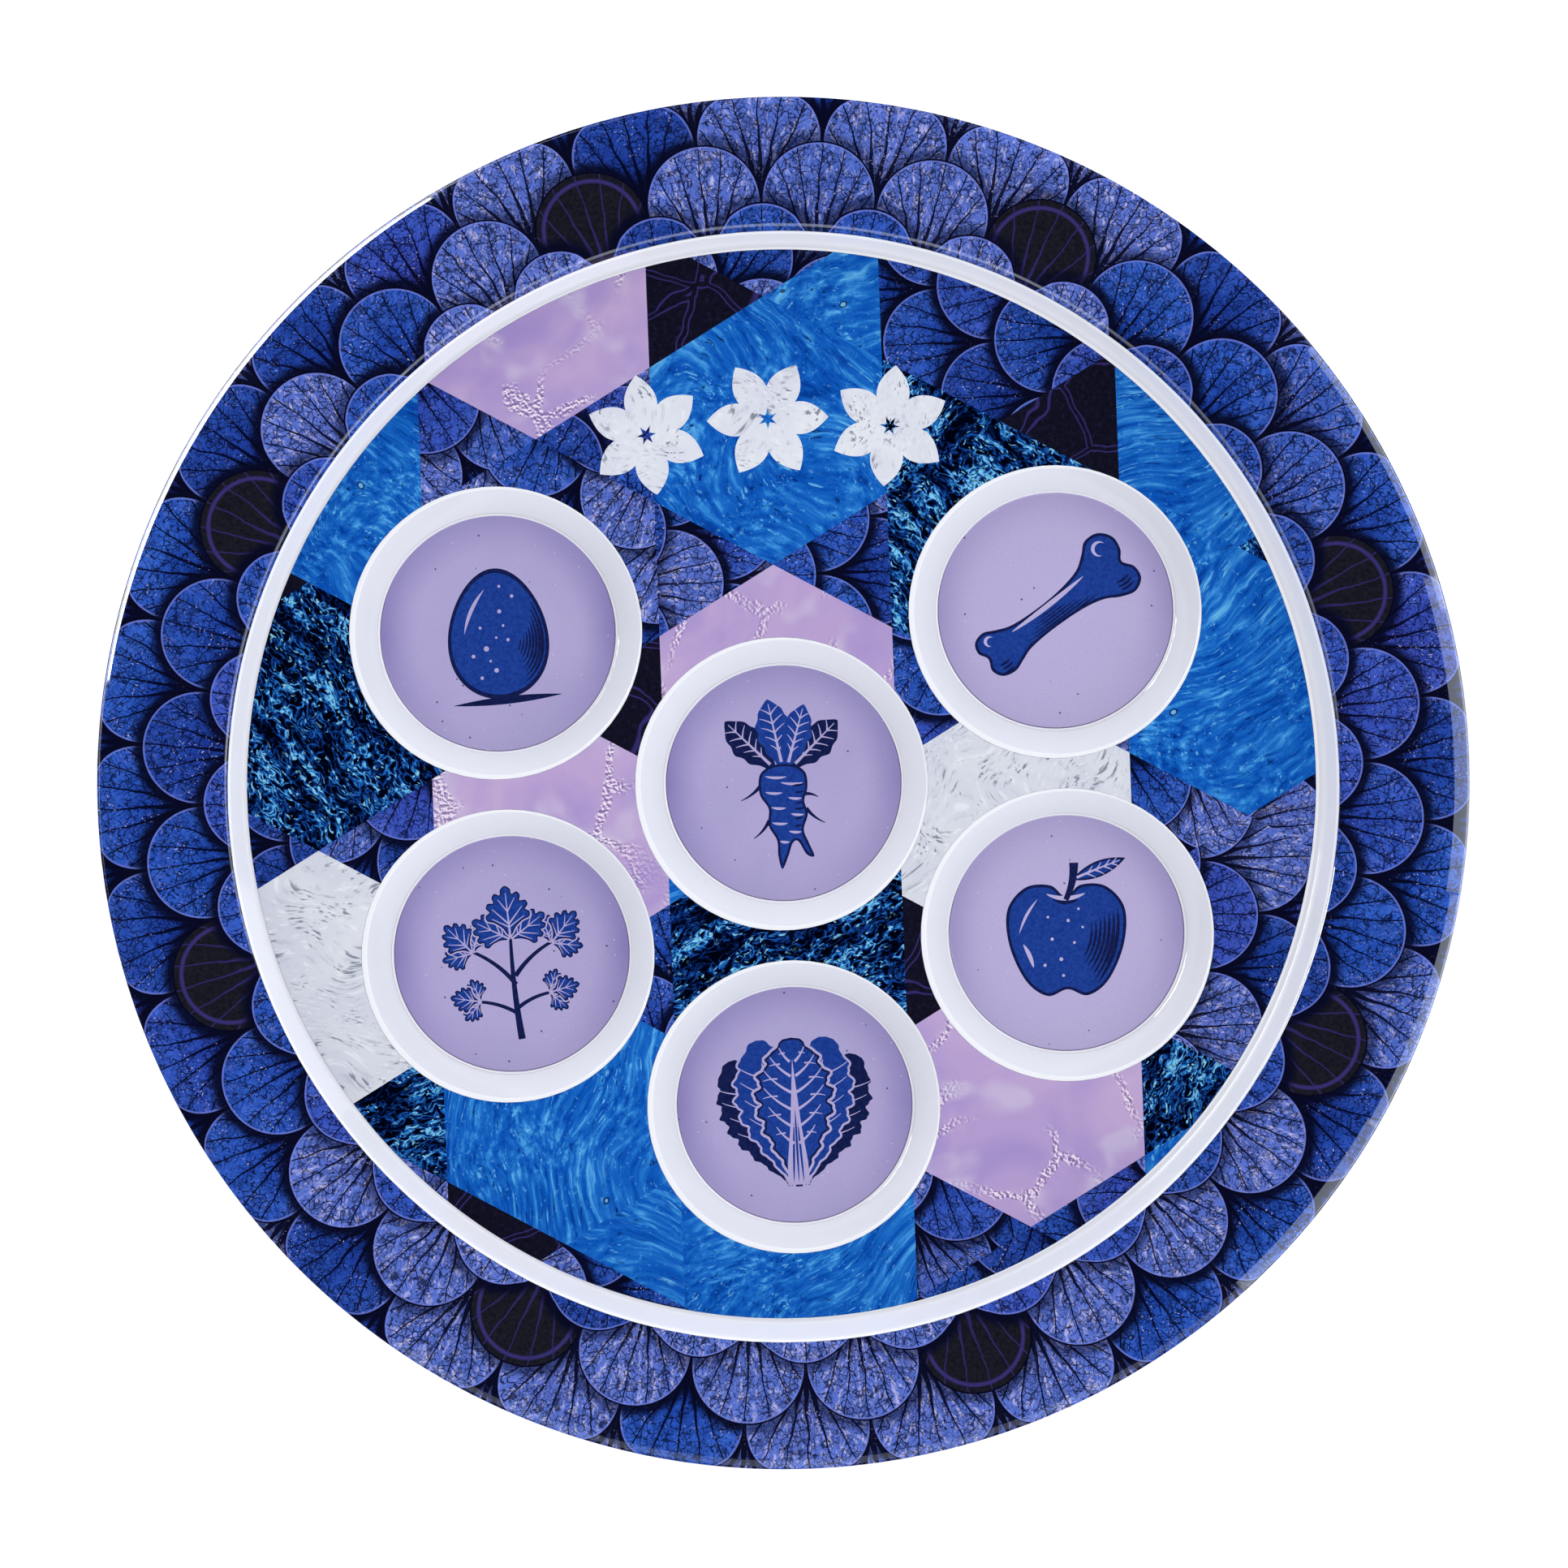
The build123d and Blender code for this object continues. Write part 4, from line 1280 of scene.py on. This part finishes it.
def apple_picture():
    half = [(0.0, 7.6), (3.2, 10.0), (8.4, 9.6), (12.2, 5.0), (11.9, -2.4), (8.6, -9.8), (4.2, -13.0), (0.0, -11.7)]
    body = spline(half + [(-x, y) for x, y in half[-2:0:-1]], 10)
    ops = [("b", body), ("a", inside_of(body, 0.62))]
    for i in range(7):
        k = 1.0 - 0.085 * i
        ops.append(("b", engraved((5.6 * k + 0.6, -10.6 * k), (10.9 * k - 0.2, 5.6 * k - 0.6), -0.20, 0.80 - 0.06 * i)))
    ops.append(("", bend((-9.8, 0.0), (-5.8, 7.2), 0.19) + bend((-5.8, 7.2), (-9.8, 0.0), -0.05)[1:-1]))
    ops.append(("", engraved((-9.0, -2.2), (-7.0, -7.0), 0.09, 0.8)))
    for x, y, r in ((-3.0, -1.2, 0.34), (-1.2, -5.4, 0.40), (1.6, -2.0, 0.30), (-4.6, -6.6, 0.34), (0.4, 2.6, 0.34), (-3.8, 3.4, 0.28), (2.6, 5.0, 0.28), (-0.8, -8.8, 0.30), (3.4, 1.2, 0.26)):
        ops.append(("", ring(x, y, r, 12)))
    ops.append(("", engraved((-4.0, 8.2), (4.0, 8.2), -0.24, 0.85)))
    ops.append(("b", engraved((-2.6, 7.0), (2.6, 7.0), -0.26, 0.7)))
    ops.append(("b", stroke(bend((0.0, 6.9), (1.8, 14.6), -0.13), 1.1, 1.9)))
    leaf_ = leaf((1.3, 11.0), (12.6, 15.4), 0.27, 18)
    ops += [("b", leaf_), ("a", inside_of(leaf_, 0.42)), ("", stroke(bend((2.4, 11.5), (11.4, 14.9), 0.02, 8), 0.55, 0.16))]
    for t in (0.28, 0.44, 0.60, 0.74):
        x, y = 1.3 + 11.3 * t, 11.0 + 4.4 * t
        ops.append(("", stroke(bend((x, y), (x + 1.2, y + 1.7 - 0.6 * abs(t - 0.4)), -0.1, 4), 0.34, 0.12)))
        ops.append(("", stroke(bend((x, y), (x + 1.9, y - 0.9 + 0.3 * abs(t - 0.4)), 0.1, 4), 0.34, 0.12)))
    return ops


PICTURES = {
    "bitter_herbs": root_picture,
    "shank_bone": bone_picture,
    "egg": egg_picture,
    "parsley": sprig_picture,
    "lettuce": lettuce_picture,
    "charoset": apple_picture,
}


WALL_A = math.atan2(WELL_DEPTH, WELL_MOUTH_R - WELL_FLOOR_R)
BEND_R = WELL_FLOOR_R - WELL_ROUND * math.tan(WALL_A / 2)      # where a well's floor starts to turn up


def cup(rho):
    """Height and slope of a well's face at a distance from the well's axis."""
    if rho <= BEND_R:
        return FLOOR_Z, 0.0
    h = math.asin(min((rho - BEND_R) / WELL_ROUND, math.sin(WALL_A)))
    over = max(0.0, rho - BEND_R - WELL_ROUND * math.sin(WALL_A))
    return FLOOR_Z + WELL_ROUND * (1 - math.cos(h)) + over * math.tan(WALL_A), h


def make_disc(name, mats):
    wx, wy = WELLS[name]
    sx, sy = WELL_SHIFT[name]
    ops = [(ink, turned(pts, WELL_TURN[name], sx, sy, 1.08)) for ink, pts in PICTURES[name]()]
    net = Net()
    n_out, n_turn = 180, 11
    flat_ring, edge = ring(0, 0, BEND_R - 0.1, n_out), ring(sx, sy, DISC_R, n_out)
    for k in range(n_turn + 1):
        t = k / n_turn
        net.path([(p[0] + (q[0] - p[0]) * t, p[1] + (q[1] - p[1]) * t) for p, q in zip(flat_ring, edge)], True)
    for _, pts in ops:
        net.path(pts, True)
    flat, tris = net.cut()
    inks = {"": 0, "a": 1, "b": 2}
    boxes = [(min(x for x, _ in q), min(y for _, y in q), max(x for x, _ in q), max(y for _, y in q)) for _, q in ops]
    keep, mat_of = [], []
    for f in tris:
        x = sum(flat[i][0] for i in f) / 3
        y = sum(flat[i][1] for i in f) / 3
        if not in_ring(x, y, sx, sy, DISC_R, n_out):
            continue
        ink = ""
        for (name_ink, pts), box in zip(ops, boxes):
            if box[0] < x < box[2] and box[1] < y < box[3] and in_shape(x, y, pts):
                ink = name_ink
        keep.append(f)
        mat_of.append(inks[ink])
    used = sorted({i for f in keep for i in f})
    new = {i: k for k, i in enumerate(used)}
    pts = [flat[i] for i in used]
    faces = [tuple(new[i] for i in f) for f in keep]
    top, low, normal = [], [], []
    for x, y in pts:
        rho = math.hypot(x, y)
        z, h = cup(rho)
        out = math.sin(h) / rho if h else 0.0
        nv = Vector((-out * x, -out * y, math.cos(h)))
        top.append(Vector((wx + x, wy + y, z)))
        low.append(top[-1] - nv * (FOIL_T - 0.005))
        normal.append(nv)
    return foil(
        name + "_well_print_and_painted_shade",
        name + "_well_foil",
        top,
        low,
        normal,
        faces,
        mats,
        mat_of,
        lambda fi, j: (pts[j][0] - sx, pts[j][1] - sy),
        disc_bake(pts, sx, sy, DISC_R),
    )


# ------------------------------------------------------------------ assembly
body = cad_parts["plate_body"]
body_mat = melamine()
for i in range(len(body.material_slots)):
    body.material_slots[i].material = body_mat

rim_ob = make_rim(scale_print("rim_scale_print"))
make_centre(
    {
        "cobalt": scale_print("cobalt_scale_print"),
        "navy": navy_print(),
        "azure": azure_print(),
        "hammered": hammered_print(),
        "lilac": lilac_print(),
        "white": marble_print("white_marble_print", 0),
        "petal": marble_print("pale_marble_print", 8),
    }
)
disc_mats = [
    well_print_and_painted_shade(),
    ink_print("blue_ink_print", (22, 52, 134), (36, 70, 156)),
    ink_print("navy_ink_print", (14, 22, 66), (26, 36, 86)),
]
disc_obs = [make_disc(well, disc_mats) for well in WELLS]

# --------------------------------------------------------------------- stage
floor_mesh = bpy.data.meshes.new("floor")
side, drop = 4.0, -0.00005
floor_mesh.from_pydata([(-side, -side, drop), (side, -side, drop), (side, side, drop), (-side, side, drop)], [], [(0, 1, 2, 3)])
floor = bpy.data.objects.new("floor", floor_mesh)
bpy.context.collection.objects.link(floor)
fs = Shader("pale_floor")
fs.put(
    fs.bsdf.inputs["Base Color"],
    fs.ramp(fs.noise(fs.mm(), 0.004, 2.0), [(0.3, (262, 262, 263)), (0.7, (264, 264, 264))]),
)
fs.bsdf.inputs["Roughness"].default_value = 0.7
fs.bsdf.inputs["Specular IOR Level"].default_value = 0.2
# A light table: it glows a little, which keeps the shadows on it pale.
fs.bsdf.inputs["Emission Color"].default_value = (1.0, 1.0, 1.0, 1.0)
fs.bsdf.inputs["Emission Strength"].default_value = 0.16
floor_mesh.materials.append(fs.mat)
floor.visible_glossy = False

world = bpy.data.worlds.new("studio")
bpy.context.scene.world = world
world.use_nodes = True
sky = world.node_tree
bg = sky.nodes["Background"]
bg.inputs[0].default_value = (0.98, 0.985, 1.0, 1.0)
# The gloss sees the lamps instead of the sky and the floor, as through a polariser.
world.cycles_visibility.glossy = False
way = sky.nodes.new("ShaderNodeTexCoord").outputs["Generated"]


def sky_math(op, a, b, clamp=False):
    n = sky.nodes.new("ShaderNodeMath")
    n.operation, n.use_clamp = op, clamp
    for socket, v in zip(n.inputs, (a, b)):
        if isinstance(v, bpy.types.NodeSocket):
            sky.links.new(v, socket)
        else:
            socket.default_value = v
    return n.outputs[0]


def sky_towards(v):
    n = sky.nodes.new("ShaderNodeVectorMath")
    n.operation = "DOT_PRODUCT"
    sky.links.new(way, n.inputs[0])
    n.inputs[1].default_value = v
    return n.outputs["Value"]


# White walls of a tent: an even sky, and more light from low down on the right, at the back and in front.
low_down = sky_math("SUBTRACT", 1.0, sky_math("MULTIPLY", sky_towards((0.0, 0.0, 1.0)), 2.0), True)
glow = 0.0
for az, amount in ((0, 0.75), (90, 3.40), (270, 0.50), (300, 2.40)):
    side_on = sky_math("MAXIMUM", sky_towards((math.cos(math.radians(az)), math.sin(math.radians(az)), 0.0)), 0.0)
    glow = sky_math("ADD", sky_math("MULTIPLY", side_on, amount), glow)
sky.links.new(sky_math("ADD", sky_math("MULTIPLY", low_down, glow), 1.015), bg.inputs[1])


# The lamps show in the gloss of the rim, of the discs in the wells, or of the body: flags keep them off the rest.
rim_only = bpy.data.collections.new("rim_only")
rim_only.objects.link(rim_ob)
rim_ob.visible_glossy = False      # no second image of the rim's lamps in the walls of the wells
discs_only = bpy.data.collections.new("discs_only")
for ob in disc_obs:
    discs_only.objects.link(ob)
body_only = bpy.data.collections.new("body_only")
body_only.objects.link(body)


def softbox(name, at, size, radiance, target, tint=(1.0, 1.0, 1.0), seen_by=rim_only):
    """Area lamp of a given brightness that shines in the gloss and lights nothing else."""
    light = bpy.data.lights.new(name, "AREA")
    light.shape = "RECTANGLE"
    light.size, light.size_y = size
    light.energy = radiance * math.pi * size[0] * size[1]
    light.color = tint
    ob = bpy.data.objects.new(name, light)
    bpy.context.collection.objects.link(ob)
    ob.location = at
    aim = Vector(target) - Vector(at)
    ob.rotation_euler = aim.to_track_quat("-Z", "Y").to_euler()
    ob.visible_diffuse = False
    ob.visible_camera = False
    ob.light_linking.receiver_collection = seen_by
    return ob


def table_lamp(name, az, near, far, width, radiance, tint=(1.0, 1.0, 1.0)):
    """The same kind of lamp, lying on the table from near to far from the plate's axis."""
    mid = (near + far) / 2
    a = math.radians(az)
    ob = softbox(name, (mid * math.cos(a), mid * math.sin(a), 0.0005), (far - near, width), radiance, (0.0, 0.0, 1.0), tint)
    ob.rotation_euler = (math.pi, 0.0, a)
    return ob


def standing(name, az, far, low_z, high_z, width, radiance, tint=(1.0, 1.0, 1.0)):
    """The same kind of lamp, standing that far from the plate's axis and facing it."""
    a, mid = math.radians(az), (low_z + high_z) / 2
    at = (far * math.cos(a), far * math.sin(a), mid)
    return softbox(name, at, (width, high_z - low_z), radiance, (0.0, 0.0, mid), tint)


# White cards close to the plate on the right, of different heights, and one farther off in front.
cool = (0.80, 0.88, 1.0)
standing("card_right", 2.0, 0.205, 0.001, 0.138, 0.098, 2.9, cool)
standing("card_right_back", 25.0, 0.205, 0.001, 0.047, 0.090, 2.9, cool)
standing("card_right_mid", -22.0, 0.205, 0.001, 0.068, 0.075, 2.9, cool)
standing("card_right_front", -41.0, 0.205, 0.001, 0.092, 0.065, 2.7, cool)
table_lamp("table_right", -8.0, 0.163, 0.60, 0.40, 3.2, cool)
softbox("card_front", (0.15, -1.5, 0.48), (2.6, 0.96), 0.9, (0.15, 0.0, 0.48), cool)
# A small card over the middle of the plate, for the shoulder of the rim at the top.
softbox("card_over", (0.0, -0.004, 0.050), (0.150, 0.064), 2.2, (0.0, 1.0, 0.050), cool)
# A window at the back on the right, in the turned-up edge of each disc.
softbox("window", (0.833, 0.388, 0.771), (1.06, 0.78), 1.5, (0.0, 0.0, 0.0), seen_by=discs_only)
# Another at the back on the left, in the cove at the foot of the step wall and in the round mouths of the wells.
softbox("window_left", (-0.949, 0.548, 0.488), (0.80, 0.51), 8.0, (0.0, 0.0, 0.0), seen_by=body_only)
# A white band along the lip at the upper left: a strip over the table and the table's edge below it.
softbox("strip_left", (-1.294, 0.940, 0.215), (1.5, 0.43), 19.0, (0.0, 0.0, 0.215))
table_lamp("table_left_near", 144.0, 0.185, 0.45, 0.24, 10.0)
table_lamp("table_left_far", 144.0, 0.45, 1.6, 1.0, 10.0)

# -------------------------------------------------------------------- camera
cam = bpy.data.cameras.new("camera")
cam.sensor_width = 36.0
cam.lens = 36.0 * 1.1 / 0.3481
camera = bpy.data.objects.new("camera", cam)
bpy.context.collection.objects.link(camera)
camera.location = (0.00013, -0.00023, 1.1156)
camera.rotation_euler = (0.0, 0.0, math.radians(-2.18))
bpy.context.scene.camera = camera
cam.dof.use_dof = False

view = bpy.context.scene.view_settings
view.view_transform = "Standard"
view.look = "None"
view.exposure = 0.0
view.gamma = 1.0
